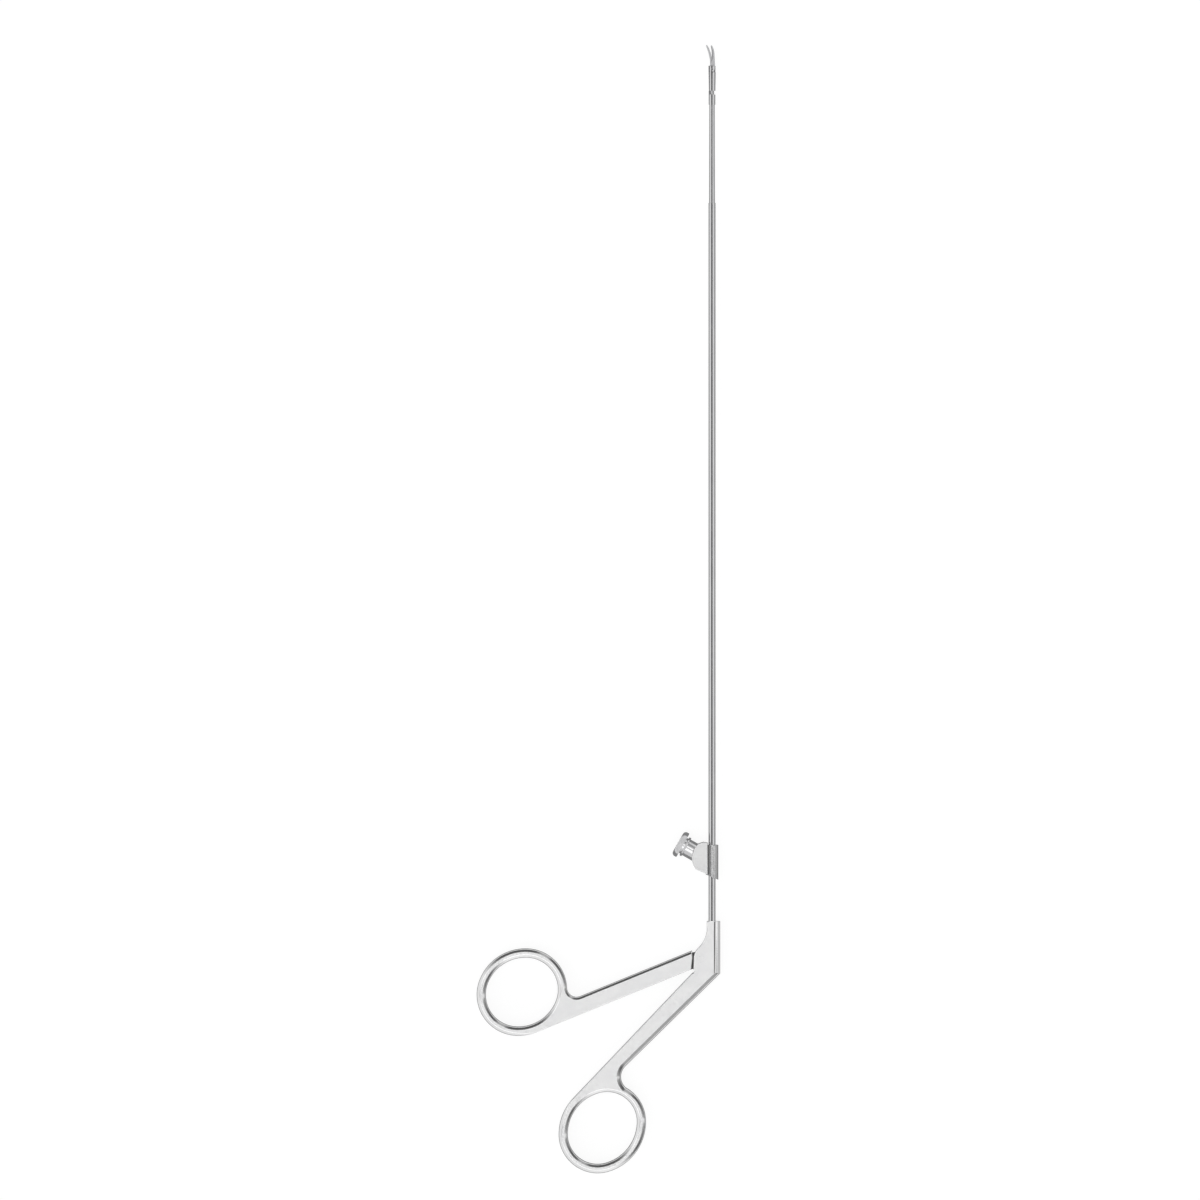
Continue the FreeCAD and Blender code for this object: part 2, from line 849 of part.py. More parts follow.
def actuating_rod():
    """The push rod, with a spigot at each end."""
    low = "rod_end_top - rod_spigot_length"
    return turned(
        "actuating_rod",
        [
            ("0", low),
            ("rod_spigot_diameter / 2", low),
            ("rod_spigot_diameter / 2", "rod_end_top"),
            ("rod_diameter / 2", "rod_end_top"),
            ("rod_diameter / 2", "rod_front"),
            ("rod_spigot_diameter / 2", "rod_front"),
            ("rod_spigot_diameter / 2", "rod_front + rod_spigot_length"),
            ("0", "rod_front + rod_spigot_length"),
        ],
    )


def rod_end():
    """The flat eye on the rod's rear end, which takes the cross pin."""
    half = "rod_end_width / 2"
    eye = plate(
        "rod_eye",
        [
            (f"shaft_offset + {half}", "rod_end_top"),
            (f"shaft_offset - {half}", "rod_end_top"),
            (f"shaft_offset - {half}", "-rod_travel / 2", HALF_CIRCLE, 1),
            (f"shaft_offset + {half}", "-rod_travel / 2"),
        ],
        f"{MIDDLE} - rod_end_thickness / 2",
        "rod_end_thickness",
    )
    socket = turned(
        "rod_socket",
        [
            ("0", "rod_end_top - rod_spigot_length"),
            ("rod_spigot_diameter / 2", "rod_end_top - rod_spigot_length"),
            ("rod_spigot_diameter / 2", "rod_end_top + 1"),
            ("0", "rod_end_top + 1"),
        ],
    )
    at = "-rod_travel / 2"
    hole = pin("eye_hole", "cross_pin_diameter", "handle_thickness", "0", "shaft_offset", at)
    return cut("rod_end", eye, socket, hole)


def rod_end_pin():
    """The cross pin through the rod's eye and the fork of the tongue."""
    return pin(
        "rod_end_pin",
        "cross_pin_diameter",
        "tongue_thickness",
        f"{MIDDLE} - tongue_thickness / 2",
        "shaft_offset",
        "-rod_travel / 2",
    )


def rod_fork():
    """The fork on the rod's front end, which straddles the tails of both blades."""
    end = "jaw_pivot - cam_far + fork_lip"
    prongs = turned(
        "fork_turning",
        [
            ("0", "rod_front"),
            ("fork_diameter / 2", "rod_front"),
            ("fork_diameter / 2", end),
            ("0", end),
        ],
    )
    slot = block(
        "fork_slot",
        "shaft_offset - fork_diameter",
        "fork_slot_foot",
        f"{MIDDLE} - {STACK} - blade_clearance / 2",
        "2 * fork_diameter",
        "6",
        f"2 * {STACK} + blade_clearance",
    )
    socket = turned(
        "fork_socket",
        [
            ("0", "rod_front - 1"),
            ("rod_spigot_diameter / 2", "rod_front - 1"),
            ("rod_spigot_diameter / 2", "rod_front + rod_spigot_length"),
            ("0", "rod_front + rod_spigot_length"),
        ],
    )
    at = "jaw_pivot - cam_far"
    hole = pin("fork_hole", "drive_pin_diameter", "handle_thickness", "0", "shaft_offset", at)
    return cut("rod_fork", prongs, slot, socket, hole)


def drive_pin():
    """The pin across the fork that works in the cam slots of both blades."""
    length = "2 * sqrt(pow(fork_diameter / 2; 2) - pow(drive_pin_diameter / 2; 2))"
    low = f"{MIDDLE} - ({length}) / 2"
    return pin("drive_pin", "drive_pin_diameter", length, low, "shaft_offset", "jaw_pivot - cam_far")


def cam_slot(name, side):
    """The slanted slot in a blade's tail; side is 1 where it leans to the left, -1 to the right."""
    half = "(drive_pin_diameter + cam_clearance) / 2"
    rise = f"(cam_far - {CLOSED_CAM} * cos(blade_swing))"
    run = f"({CLOSED_CAM} * sin(blade_swing))"
    length = f"sqrt(pow({rise}; 2) + pow({run}; 2))"
    return plate(
        name,
        [
            (f"-({half})", "0", HALF_CIRCLE, 1),
            (half, "0"),
            (half, length, HALF_CIRCLE, 1),
            (f"-({half})", length),
        ],
        "0",
        "handle_thickness",
        "shaft_offset",
        "jaw_pivot - cam_far",
        f"{side} * atan({run} / {rise})",
    )


def bevel_wheel(name, radius, rises, low, x, y):
    """The space that a conical wheel grinds off a blade; its wider end is above where it rises."""
    wheel = doc.addObject("Part::Cone", name)
    narrow = f"{radius} - bevel_width"
    foot, top = (narrow, radius) if rises else (radius, narrow)
    bind(wheel, Radius1=foot, Radius2=top, Height="blade_thickness")
    settle(wheel, f"shaft_offset + {x}", f"jaw_pivot + {y}", low)
    return wheel


def blade(name, corners, low, wheel, side):
    """A small curved blade with a ground bevel, a pivot hole and a cam slot in its tail."""
    body = plate(f"{name}_blank", corners, low, "blade_thickness", "shaft_offset", "jaw_pivot")
    hole = pin(
        f"{name}_hole",
        "jaw_pin_diameter + 2 * turning_clearance",
        "handle_thickness",
        "0",
        "shaft_offset",
        "jaw_pivot",
    )
    return cut(name, body, wheel, hole, cam_slot(f"{name}_cam", side))


def front_blade():
    """The blade nearer the front cheek: its back stands upright and its edge is hollow."""
    corners = [
        ("tail_half_width - 0.05", "-cam_far"),
        ("0.59", "-0.66"),
        ("blade_back - 0.01", "0.16"),
        ("blade_back", "1.04"),
        ("blade_back - 0.2", "blade_length * 0.674", "5.1", 1),
        ("0", "blade_length * 0.978"),
        ("-0.22", "blade_length"),
        ("-0.35", "blade_length * 0.955", "edge_curve", -1),
        ("-0.38", "1.82"),
        ("-blade_root", "1.2"),
        ("-blade_root - 0.07", "-0.2"),
        ("-tail_half_width - 0.05", "-cam_far", HALF_CIRCLE, 1),
    ]
    low = f"{MIDDLE} + blade_gap / 2"
    reach = "front_bevel_reach - front_bevel_curve"
    wheel = bevel_wheel("front_bevel_wheel", "front_bevel_curve", True, low, reach, "blade_length * 0.61")
    return blade("front_blade", corners, low, wheel, 1)


def rear_blade():
    """The blade nearer the rear cheek, which leans to the side and is bellied along its edge."""
    corners = [
        ("tail_half_width + 0.05", "-cam_far"),
        ("blade_root + 0.07", "-0.2"),
        ("0.22", "1.3"),
        ("-0.02", "3.0", "edge_curve", 1),
        ("-1.2", "blade_length * 0.965"),
        ("-1.61", "blade_length * 1.02"),
        ("-1.74", "blade_length * 0.985", "16.3", -1),
        ("-blade_root", "2.03"),
        ("-blade_root", "1.19"),
        ("-blade_root - 0.07", "-0.2"),
        ("-tail_half_width + 0.05", "-cam_far", HALF_CIRCLE, 1),
    ]
    low = f"{MIDDLE} - blade_gap / 2 - blade_thickness"
    rise = "blade_length * 0.7 + rear_bevel_rise"
    wheel = bevel_wheel("rear_bevel_wheel", "rear_bevel_curve", False, low, "rear_bevel_side", rise)
    return blade("rear_blade", corners, low, wheel, -1)


PIECES = (
    fixed_handle,
    moving_handle,
    handle_pin,
    shaft_tube,
    front_tube,
    jaw_head,
    jaw_pin,
    guide_bush,
    rod_seal,
    port_saddle,
    port_connector,
    actuating_rod,
    rod_end,
    rod_end_pin,
    rod_fork,
    drive_pin,
    front_blade,
    rear_blade,
)

made = {}
for make in PIECES:
    piece = make()
    piece.Label = make.__name__
    made[make.__name__] = piece
doc.recompute()

for thing in doc.Objects:
    if {"Invalid", "Error"} & set(thing.State):
        raise RuntimeError(f"{thing.Name} did not build: {thing.State}")
for label, piece in made.items():
    shape = piece.Shape
    if shape.isNull() or not shape.isValid() or not shape.Solids:
        raise RuntimeError(f"{label} has no sound solid")
    print(label, len(shape.Solids), "solid, volume", round(shape.Volume, 3))

os.makedirs("parts", exist_ok=True)
for label, piece in made.items():
    piece.Shape.exportStep(f"parts/{label}.step")
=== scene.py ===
"""Looks of the microlaryngeal scissors: satin ring handles, a polished shaft and small ground blades.

Everything is in metres. X runs to the back of the handle, Y along the shaft to the blades, and Z up to
the camera. Sizes that are given in millimetres become metres where a mesh or a material is made.
"""

import logging
import math
from collections.abc import Iterable, Sequence
from dataclasses import dataclass
from enum import Enum
from functools import cache, reduce

import bmesh
import bpy
from mathutils import Matrix, Vector
from mathutils.geometry import tessellate_polygon


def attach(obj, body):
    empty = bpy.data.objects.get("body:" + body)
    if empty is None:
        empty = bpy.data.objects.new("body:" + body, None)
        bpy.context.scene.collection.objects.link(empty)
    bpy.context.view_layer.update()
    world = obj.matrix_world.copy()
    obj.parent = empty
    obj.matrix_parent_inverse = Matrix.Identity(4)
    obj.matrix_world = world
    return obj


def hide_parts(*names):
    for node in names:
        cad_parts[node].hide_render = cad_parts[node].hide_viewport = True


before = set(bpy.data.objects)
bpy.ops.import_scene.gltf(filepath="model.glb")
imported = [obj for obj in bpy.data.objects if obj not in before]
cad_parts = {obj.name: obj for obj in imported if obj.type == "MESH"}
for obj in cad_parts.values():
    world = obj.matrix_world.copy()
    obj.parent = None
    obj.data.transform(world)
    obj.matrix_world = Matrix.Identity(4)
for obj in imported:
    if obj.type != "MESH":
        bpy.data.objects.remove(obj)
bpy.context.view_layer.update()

log = logging.getLogger("scissors")

Point = tuple[float, float]
Pair = tuple[float, float]
Corner = tuple[float, float, float]
Colour = tuple[float, float, float]
Socket = bpy.types.NodeSocket
Thing = bpy.types.Object
Ring = list[bmesh.types.BMVert]

MM = 0.001
# Edges that turn by more degrees than this stay sharp.
SHARP_ANGLE = 32.0
# The Z part of a level face's normal, and where the level finish starts and is complete.
LEVEL = 0.9995
LEVEL_FADE = (0.9985, 0.9998)
# Points of a cut that lie closer than this, in millimetres, are joined.
JOIN = 0.002
# How strongly large faces outweigh small ones in the shading, where 50 is even.
FACE_WEIGHT = 60
# The worn bevel's profile from the flat to the side: (distance in, drop), as shares of its width.
EDGE_SHAPE = ((1.0, 0.0), (0.92, 0.02), (0.62, 0.14), (0.3, 0.3), (0.14, 0.42), (0.04, 0.58), (0.0, 0.8))
# A sharp corner's bevel runs in no further than this allows.
MITRE_LIMIT = 0.4
# A level face between these heights, in millimetres, lies in a pocket, where its colour gets painted
# shade.
POCKETS = (0.5, 4.7)
# The steel's patterns, in features per metre: dull clouds, wear, brushing and blasting.
CLOUDS, WEAR, LINES, BLAST = 160.0, 900.0, 9000.0, 14000.0
# How far wear and brushing move the roughness.
WEAR_REACH, LINE_REACH = 0.03, 0.02
# The middle of the shaft, along X and Z, and the main tube's radius, in millimetres.
SHAFT_X, SHAFT_Z, TUBE_RADIUS = 3.3, 2.6, 1.0


class Body(Enum):
    """The bodies that the new pieces ride on."""

    FRAME = "frame"
    MOVING = "moving"


class Slot(Enum):
    """The record's material slots of the new pieces."""

    SATIN = "satin_steel"
    POLISHED = "polished_steel"


class Carve(Enum):
    """What a tool does to a solid."""

    AWAY = "DIFFERENCE"
    JOINED = "UNION"
    COMMON = "INTERSECT"


# ---------------- nodes


class Nodes:
    """Builds a node tree in a few plain steps."""

    def __init__(self, tree: bpy.types.NodeTree) -> None:
        """Start from an empty tree."""
        self.tree = tree
        tree.nodes.clear()

    def add(self, kind: str, **settings: object) -> bpy.types.Node:
        """Add a node.

        Args:
            kind: the node's type name.
            settings: attributes that are set on the node.

        Returns:
            The new node.
        """
        node = self.tree.nodes.new(kind)
        for name, value in settings.items():
            setattr(node, name, value)
        return node

    def feed(self, socket: Socket, value: Socket | float | Sequence[float]) -> None:
        """Link a socket to another one, or set its own value.

        Args:
            socket: the input that is fed.
            value: another node's output, or the value itself.
        """
        if isinstance(value, bpy.types.NodeSocket):
            self.tree.links.new(value, socket)
        else:
            socket.default_value = value

    def math(self, operation: str, *values: Socket | float, clamp: bool = False) -> Socket:
        """A Math node's result.

        Args:
            operation: the operation's name.
            values: one to three numbers or sockets.
            clamp: whether the result is kept between 0 and 1.

        Returns:
            The node's output.
        """
        node = self.add("ShaderNodeMath", operation=operation, use_clamp=clamp)
        for socket, value in zip(node.inputs, values):
            self.feed(socket, value)
        return node.outputs[0]

    def product(self, *values: Socket | float) -> Socket:
        """The values multiplied by each other."""
        return reduce(lambda first, second: self.math("MULTIPLY", first, second), values)

    def ramp(
        self, value: Socket, low: float, high: float, start: float = 0.0, end: float = 1.0
    ) -> Socket:
        """A smooth step of a value between two limits.

        Args:
            value: the value that is mapped.
            low: the value that gives the start.
            high: the value that gives the end.
            start: the result at and below the low limit.
            end: the result at and above the high limit.

        Returns:
            The mapped value.
        """
        node = self.add("ShaderNodeMapRange", interpolation_type="SMOOTHSTEP")
        self.feed(node.inputs["Value"], value)
        ends = {"From Min": low, "From Max": high, "To Min": start, "To Max": end}
        for name, number in ends.items():
            node.inputs[name].default_value = number
        return node.outputs["Result"]

    def band(self, value: Socket, low: float, high: float, soft: float) -> Socket:
        """1 between two limits and 0 outside them, with edges that are soft by so much to each side."""
        rise = self.ramp(value, low - soft, low + soft)
        return self.product(rise, self.ramp(value, high - soft, high + soft, 1.0, 0.0))

    def mix(
        self, factor: Socket, first: Socket | Sequence[float], second: Socket | Sequence[float]
    ) -> Socket:
        """A blend of two colours.

        Args:
            factor: 0 gives the first colour and 1 the second.
            first: a colour or a colour socket.
            second: a colour or a colour socket.

        Returns:
            The blended colour.
        """
        node = self.add("ShaderNodeMix", data_type="RGBA")
        self.feed(node.inputs["Factor"], factor)
        self.feed(node.inputs[6], first)
        self.feed(node.inputs[7], second)
        return node.outputs[2]

    def noise(
        self, place: Socket, scale: float, stretch: Sequence[float] = (1, 1, 1), detail: float = 3.0
    ) -> Socket:
        """A noise value over a place.

        Args:
            place: the coordinates.
            scale: its features per metre.
            stretch: a factor on them along each axis.
            detail: how many finer layers it has.

        Returns:
            The value.
        """
        mapping = self.add("ShaderNodeMapping")
        self.feed(mapping.inputs["Vector"], place)
        mapping.inputs["Scale"].default_value = stretch
        node = self.add("ShaderNodeTexNoise")
        self.feed(node.inputs["Vector"], mapping.outputs[0])
        node.inputs["Scale"].default_value = scale
        node.inputs["Detail"].default_value = detail
        return node.outputs["Fac"]

    def dress(self, shader: bpy.types.Node, colour: Socket, roughness: Socket, height: Socket) -> None:
        """Give a shader its look and make it the material's surface.

        Args:
            shader: the shader.
            colour: its colour.
            roughness: its roughness.
            height: its relief, in metres.
        """
        bump = self.add("ShaderNodeBump")
        bump.inputs["Distance"].default_value = 1.0
        self.feed(bump.inputs["Height"], height)
        looks = {"Base Color": colour, "Roughness": roughness, "Normal": bump.outputs[0]}
        for name, value in looks.items():
            self.feed(shader.inputs[name], value)
        self.surface(shader.outputs[0])

    def surface(self, result: Socket) -> None:
        """Make a shader's result the material's surface."""
        self.feed(self.add("ShaderNodeOutputMaterial").inputs["Surface"], result)


def new_material(name: str) -> tuple[bpy.types.Material, Nodes]:
    """An empty material and its nodes."""
    made = bpy.data.materials.new(name)
    made.use_nodes = True
    return made, Nodes(made.node_tree)


# ---------------- finishes


@dataclass(frozen=True)
class SteelFinish:
    """Stainless steel whose flats and edges may be finished in different ways.

    Args:
        name: the material's name.
        light, dark: the colours where the steel is cleanest and where it is a little dulled.
        flat_roughness, edge_roughness: the roughness of the level faces and of all others.
        grain: the brushing's stretch along X, Y and Z; small along the way the lines run.
        grain_depth: the brushing's relief, in metres.
        speckle_depth: the relief of the blasted grain on the level faces, in metres.
        painted_pocket_shade: painted shade on the level faces in a pocket, as how light their colour is
            kept.
        painted_shade_span: a painted shade line on the sleeve's upper side beside the block, where the
            block shades it, from one X to another in millimetres, and painted_shade_share how light it is.
        polished_from: the X, in millimetres, from which the other faces have the roughness polish.
    """

    name: str
    light: Colour
    dark: Colour
    flat_roughness: float
    edge_roughness: float
    grain: Corner = (1, 1, 1)
    grain_depth: float = 2e-7
    speckle_depth: float = 0.0
    painted_pocket_shade: float = 1.0
    painted_shade_span: Pair | None = None
    painted_shade_share: float = 0.5
    polished_from: float | None = None
    polish: float = 0.06

    @cache
    def material(self) -> bpy.types.Material:
        """The finish as a material.

        Returns:
            The material, made once.
        """
        made, nodes = new_material(self.name)
        place = nodes.add("ShaderNodeTexCoord").outputs["Object"]
        spot, normal = (nodes.add("ShaderNodeSeparateXYZ") for _ in range(2))
        nodes.feed(spot.inputs[0], place)
        nodes.feed(normal.inputs[0], nodes.add("ShaderNodeNewGeometry").outputs["Normal"])
        level = nodes.ramp(nodes.math("ABSOLUTE", normal.outputs["Z"]), *LEVEL_FADE)

        cloud = nodes.noise(place, CLOUDS, detail=4.0)
        colour = nodes.mix(nodes.ramp(cloud, 0.35, 0.65), (*self.dark, 1), (*self.light, 1))
        # Painted shade: level faces in a pocket get a darker colour, as if shade fell there.
        low, high = (height * MM for height in POCKETS)
        painted_pocket_mask = nodes.product(nodes.band(spot.outputs["Z"], low, high, 0.05 * MM), level)
        colour = nodes.mix(painted_pocket_mask, colour, self.painted_shade_colour(self.painted_pocket_shade))
        # Painted shade: a dark line on the sleeve's upper side next to the block, standing in for the
        # block's shadow.
        if self.painted_shade_span:
            first, last = (across * MM for across in self.painted_shade_span)
            along = nodes.band(spot.outputs["X"], first, last, 0.12 * MM)
            upper = nodes.ramp(normal.outputs["Z"], 0.2, 0.4)
            colour = nodes.mix(nodes.product(along, upper), colour, self.painted_shade_colour(self.painted_shade_share))

        edge = self.edge_roughness
        if self.polished_from is not None:
            start = self.polished_from * MM
            edge = nodes.ramp(spot.outputs["X"], start, start + 0.02 * MM, edge, self.polish)
        step = nodes.math("SUBTRACT", self.flat_roughness, edge)
        roughness = nodes.math("MULTIPLY_ADD", level, step, edge)
        wear = nodes.noise(place, WEAR, detail=2.0)
        lines = nodes.noise(place, LINES, self.grain, detail=2.0)
        for pattern, reach in ((wear, WEAR_REACH), (lines, LINE_REACH)):
            change = nodes.ramp(pattern, 0.3, 0.7, -reach, reach)
            roughness = nodes.math("ADD", roughness, change, clamp=True)

        blast = nodes.product(nodes.noise(place, BLAST, detail=1.0), level, self.speckle_depth)
        height = nodes.math("ADD", blast, nodes.product(lines, self.grain_depth))
        shader = nodes.add("ShaderNodeBsdfPrincipled")
        shader.inputs["Metallic"].default_value = 1.0
        nodes.dress(shader, colour, roughness, height)
        return made

    def painted_shade_colour(self, share: float) -> tuple[float, float, float, float]:
        """The dark colour, made darker still as painted shade."""
        return (*(value * share for value in self.dark), 1)


@dataclass(frozen=True)
class RubberFinish:
    """Dull rubber with a faint bloom.

    Args:
        name: the material's name.
        light, dark: the colours of the bloom and of the clean rubber.
        bloom_size: the bloom's features per metre.
        roughness: from the clean rubber's to the bloom's.
        relief: the bloom's height, in metres.
    """

    name: str
    light: Colour
    dark: Colour
    bloom_size: float = 2500.0
    roughness: Pair = (0.55, 0.75)
    relief: float = 1e-5

    @cache
    def material(self) -> bpy.types.Material:
        """The finish as a material.

        Returns:
            The material, made once.
        """
        made, nodes = new_material(self.name)
        place = nodes.add("ShaderNodeTexCoord").outputs["Object"]
        bloom = nodes.noise(place, self.bloom_size)
        colour = nodes.mix(bloom, (*self.dark, 1), (*self.light, 1))
        roughness = nodes.ramp(bloom, 0.3, 0.7, *self.roughness)
        shader = nodes.add("ShaderNodeBsdfPrincipled")
        nodes.dress(shader, colour, roughness, nodes.product(bloom, self.relief))
        return made


SATIN = SteelFinish(
    "satin_handle_steel",
    light=(0.885, 0.885, 0.885),
    dark=(0.855, 0.855, 0.86),
    flat_roughness=0.52,
    edge_roughness=0.14,
    # Painted shade in the pocket around the tongue.
    painted_pocket_shade=0.12,
    polished_from=3.8,
    grain=(0.2, 1.0, 1.0),
    grain_depth=4e-7,
    speckle_depth=4e-6,
)
MIRROR = SteelFinish(
    "polished_shaft_steel",
    light=(0.80, 0.80, 0.805),
    dark=(0.76, 0.76, 0.77),
    flat_roughness=0.07,
    edge_roughness=0.07,
    grain=(1.0, 0.02, 1.0),
)
CONNECTOR = SteelFinish(
    "port_connector_steel",
    light=(0.68, 0.68, 0.685),
    dark=(0.64, 0.64, 0.65),
    flat_roughness=0.3,
    edge_roughness=0.16,
    grain=(1.0, 0.2, 1.0),
)
PORT = SteelFinish(
    "port_block_steel",
    light=(0.77, 0.77, 0.77),
    dark=(0.73, 0.73, 0.735),
    flat_roughness=0.42,
    edge_roughness=0.2,
    grain=(1.0, 0.2, 1.0),
    speckle_depth=3e-6,
    # A painted shade line on the sleeve beside the block.
    painted_shade_span=(2.1, 2.95),
)
GROUND = SteelFinish(
    "ground_blade_steel",
    light=(0.56, 0.56, 0.57),
    dark=(0.50, 0.50, 0.51),
    flat_roughness=0.38,
    edge_roughness=0.3,
    grain=(0.05, 1.0, 1.0),
    grain_depth=5e-7,
)
DRIVE = SteelFinish(
    "drive_steel",
    light=(0.70, 0.70, 0.71),
    dark=(0.60, 0.60, 0.61),
    flat_roughness=0.3,
    edge_roughness=0.25,
    grain=(1.0, 0.1, 1.0),
    grain_depth=4e-7,
)
SEAL = RubberFinish("seal_silicone", light=(0.10, 0.10, 0.105), dark=(0.05, 0.05, 0.052))


def dress(thing: Thing, finish: SteelFinish | RubberFinish) -> None:
    """Give an object one finish all over."""
    thing.data.materials.clear()
    thing.data.materials.append(finish.material())


# ---------------- meshes


def skin(mesh: bmesh.types.BMesh, rings: Sequence[Ring]) -> None:
    """Join each ring of points to the next one by faces.

    Args:
        mesh: the mesh that gets the faces.
        rings: the rings, all with as many points.
    """
    for low, high in zip(rings, rings[1:]):
        for i in range(len(low)):
            j = (i + 1) % len(low)
            mesh.faces.new((low[i], low[j], high[j], high[i]))


def lathe(
    name: str,
    profile: Iterable[Point],
    steps: int = 96,
    closed: bool = False,
    at: Corner = (0, 0, 0),
    turn: float = 0.0,
) -> Thing:
    """A round piece turned about its own Y axis.

    Args:
        name: the object's name.
        profile: (radius, y) points in millimetres, from the rear end to the front end.
        steps: how many faces go round.
        closed: whether the last point joins the first one.
        at: where its own origin is put, in millimetres.
        turn: how far it is turned about Z, in degrees.

    Returns:
        The new object, with its origin at zero.
    """
    mesh = bmesh.new()
    rings = []
    for radius, y in profile:
        ring = []
        for i in range(steps):
            round_y = 2 * math.pi * i / steps
            spot = Vector((radius * math.cos(round_y), y, radius * math.sin(round_y))) * MM
            ring.append(mesh.verts.new(spot))
        rings.append(ring)
    skin(mesh, [*rings, rings[0]] if closed else rings)
    if not closed:
        mesh.faces.new(list(reversed(rings[0])))
        mesh.faces.new(rings[-1])
    bmesh.ops.recalc_face_normals(mesh, faces=mesh.faces)
    made = finish_mesh(name, mesh)
    turned = Matrix.Rotation(math.radians(turn), 4, "Z")
    made.data.transform(Matrix.Translation(Vector(at) * MM) @ turned)
    return made


def finish_mesh(name: str, mesh: bmesh.types.BMesh) -> Thing:
    """An object from a finished bmesh, with its faces smooth and its sharp edges kept.

    Args:
        name: the object's name.
        mesh: the bmesh, which is used up.

    Returns:
        The new object.
    """
    data = bpy.data.meshes.new(name)
    mesh.to_mesh(data)
    mesh.free()
    made = bpy.data.objects.new(name, data)
    bpy.context.scene.collection.objects.link(made)
    data.shade_smooth()
    data.set_sharp_from_angle(angle=math.radians(SHARP_ANGLE))
    return made


def carve(base: Thing, how: Carve, *tools: Thing) -> Thing:
    """Change one solid by others, which are used up.

    Args:
        base: the solid that stays.
        how: whether the tools are cut away, joined on, or only what they share is kept.
        tools: the solids that do it, one after the other.

    Returns:
        The same solid.
    """
    for tool in tools:
        step = base.modifiers.new("step", "BOOLEAN")
        step.operation = how.value
        step.solver = "EXACT"
        step.object = tool
        graph = bpy.context.evaluated_depsgraph_get()
        result = bpy.data.meshes.new_from_object(base.evaluated_get(graph))
        base.modifiers.clear()
        old = base.data
        base.data = result
        bpy.data.meshes.remove(old)
        bpy.data.objects.remove(tool)
    return base


def settle_shading(made: Thing) -> None:
    """Join points that fell together, and keep the lines where a level face meets its worn edge.

    Args:
        made: a finished solid.
    """
    mesh = bmesh.new()
    mesh.from_mesh(made.data)
    bmesh.ops.remove_doubles(mesh, verts=mesh.verts, dist=JOIN * MM)
    for face in mesh.faces:
        face.smooth = True
    for edge in mesh.edges:
        level = [abs(face.normal.z) > LEVEL for face in edge.link_faces]
        if len(level) == 2:
            turned = edge.calc_face_angle(0.0) > math.radians(SHARP_ANGLE)
            edge.smooth = not turned and level[0] == level[1]
    mesh.to_mesh(made.data)
    mesh.free()
    even = made.modifiers.new("even_normals", "WEIGHTED_NORMAL")
    even.keep_sharp = True
    even.weight = FACE_WEIGHT


def box(name: str, low: Corner, high: Corner) -> Thing:
    """A square block that serves as a tool.

    Args:
        name: the object's name.
        low: its lowest corner, in millimetres.
        high: its highest corner.

    Returns:
        The new object.
    """
    (left, rear, foot), (right, front, top) = low, high
    corners = [(left, rear), (right, rear), (right, front), (left, front)]
    return prism(name, corners, foot, top)


def prism(name: str, corners: Sequence[Point], low: float, high: float) -> Thing:
    """A plate with straight sides.

    Args:
        name: the object's name.
        corners: its outline, counterclockwise, in millimetres.
        low: its underside, in millimetres.
        high: its upper face, in millimetres.

    Returns:
        The new object.
    """
    mesh = bmesh.new()
    foot, top = (
        [mesh.verts.new(Vector((x, y, level)) * MM) for x, y in corners] for level in (low, high)
    )
    mesh.faces.new(list(reversed(foot)))
    mesh.faces.new(top)
    skin(mesh, (foot, top))
    return finish_mesh(name, mesh)


def drill(radius: float, at: Point, low: float, high: float, steps: int = 64) -> Thing:
    """A round tool that stands along Z at an X and Y, between two levels, in millimetres."""
    turns = (2 * math.pi * i / steps for i in range(steps))
    ring = [(at[0] + radius * math.cos(turn), at[1] + radius * math.sin(turn)) for turn in turns]
    return prism("drill", ring, low, high)


@dataclass(frozen=True)
class Spot:
    """One point of a plate's outline, and the width of the worn edge there, in millimetres."""

    x: float
    y: float
    rounding: float


def bend(start: Spot, end: Spot, radius: float, steps: int = 10) -> list[Spot]:
    """The points of an arc from one spot to the next, without the last one.

    Args:
        start: where the arc starts.
        end: where it ends.
        radius: its radius, in millimetres; below zero, its centre is at the right of the way along.
        steps: how many pieces it has.

    Returns:
        The points, with the worn edge's width blended from one end to the other.
    """
    ahead = Vector((end.x - start.x, end.y - start.y))
    left = Vector((-ahead.y, ahead.x)).normalized()
    half = ahead.length / 2
    reach = math.sqrt(max(radius**2 - half**2, 0.0))
    centre = Vector((start.x, start.y)) + ahead / 2 + left * math.copysign(reach, radius)
    first = math.atan2(start.y - centre.y, start.x - centre.x)
    sweep = math.copysign(2 * math.asin(min(half / abs(radius), 1.0)), radius)
    spots = []
    for i in range(steps):
        share = i / steps
        turn = first + sweep * share
        rounding = start.rounding + (end.rounding - start.rounding) * share
        x = centre.x + abs(radius) * math.cos(turn)
        y = centre.y + abs(radius) * math.sin(turn)
        spots.append(Spot(x, y, rounding))
    return spots


def ease(share: float) -> float:
    """A share from 0 to 1 that starts and ends gently."""
    return share * share * (3 - 2 * share)


def straight(start: Spot, end: Spot, ramp: float, rounding: float, steps: int = 6) -> list[Spot]:
    """The points of a straight edge, whose worn width changes to another one near both ends.

    Args:
        start: where the edge starts.
        end: where it ends, which isn't in the result.
        ramp: how far from each end the width reaches its value, in millimetres.
        rounding: the width between, in millimetres.
        steps: how many pieces each change has.

    Returns:
        The points from the start on, without the end.
    """
    ahead = Vector((end.x - start.x, end.y - start.y))
    spots = []
    for near, at_start in ((start, True), (end, False)):
        for i in range(steps + 1):
            step = i / steps if at_start else 1 - i / steps
            along = ramp * step / ahead.length
            along = along if at_start else 1 - along
            size = near.rounding + (rounding - near.rounding) * ease(step)
            spots.append(Spot(start.x + ahead.x * along, start.y + ahead.y * along, size))
    return spots[:-1]


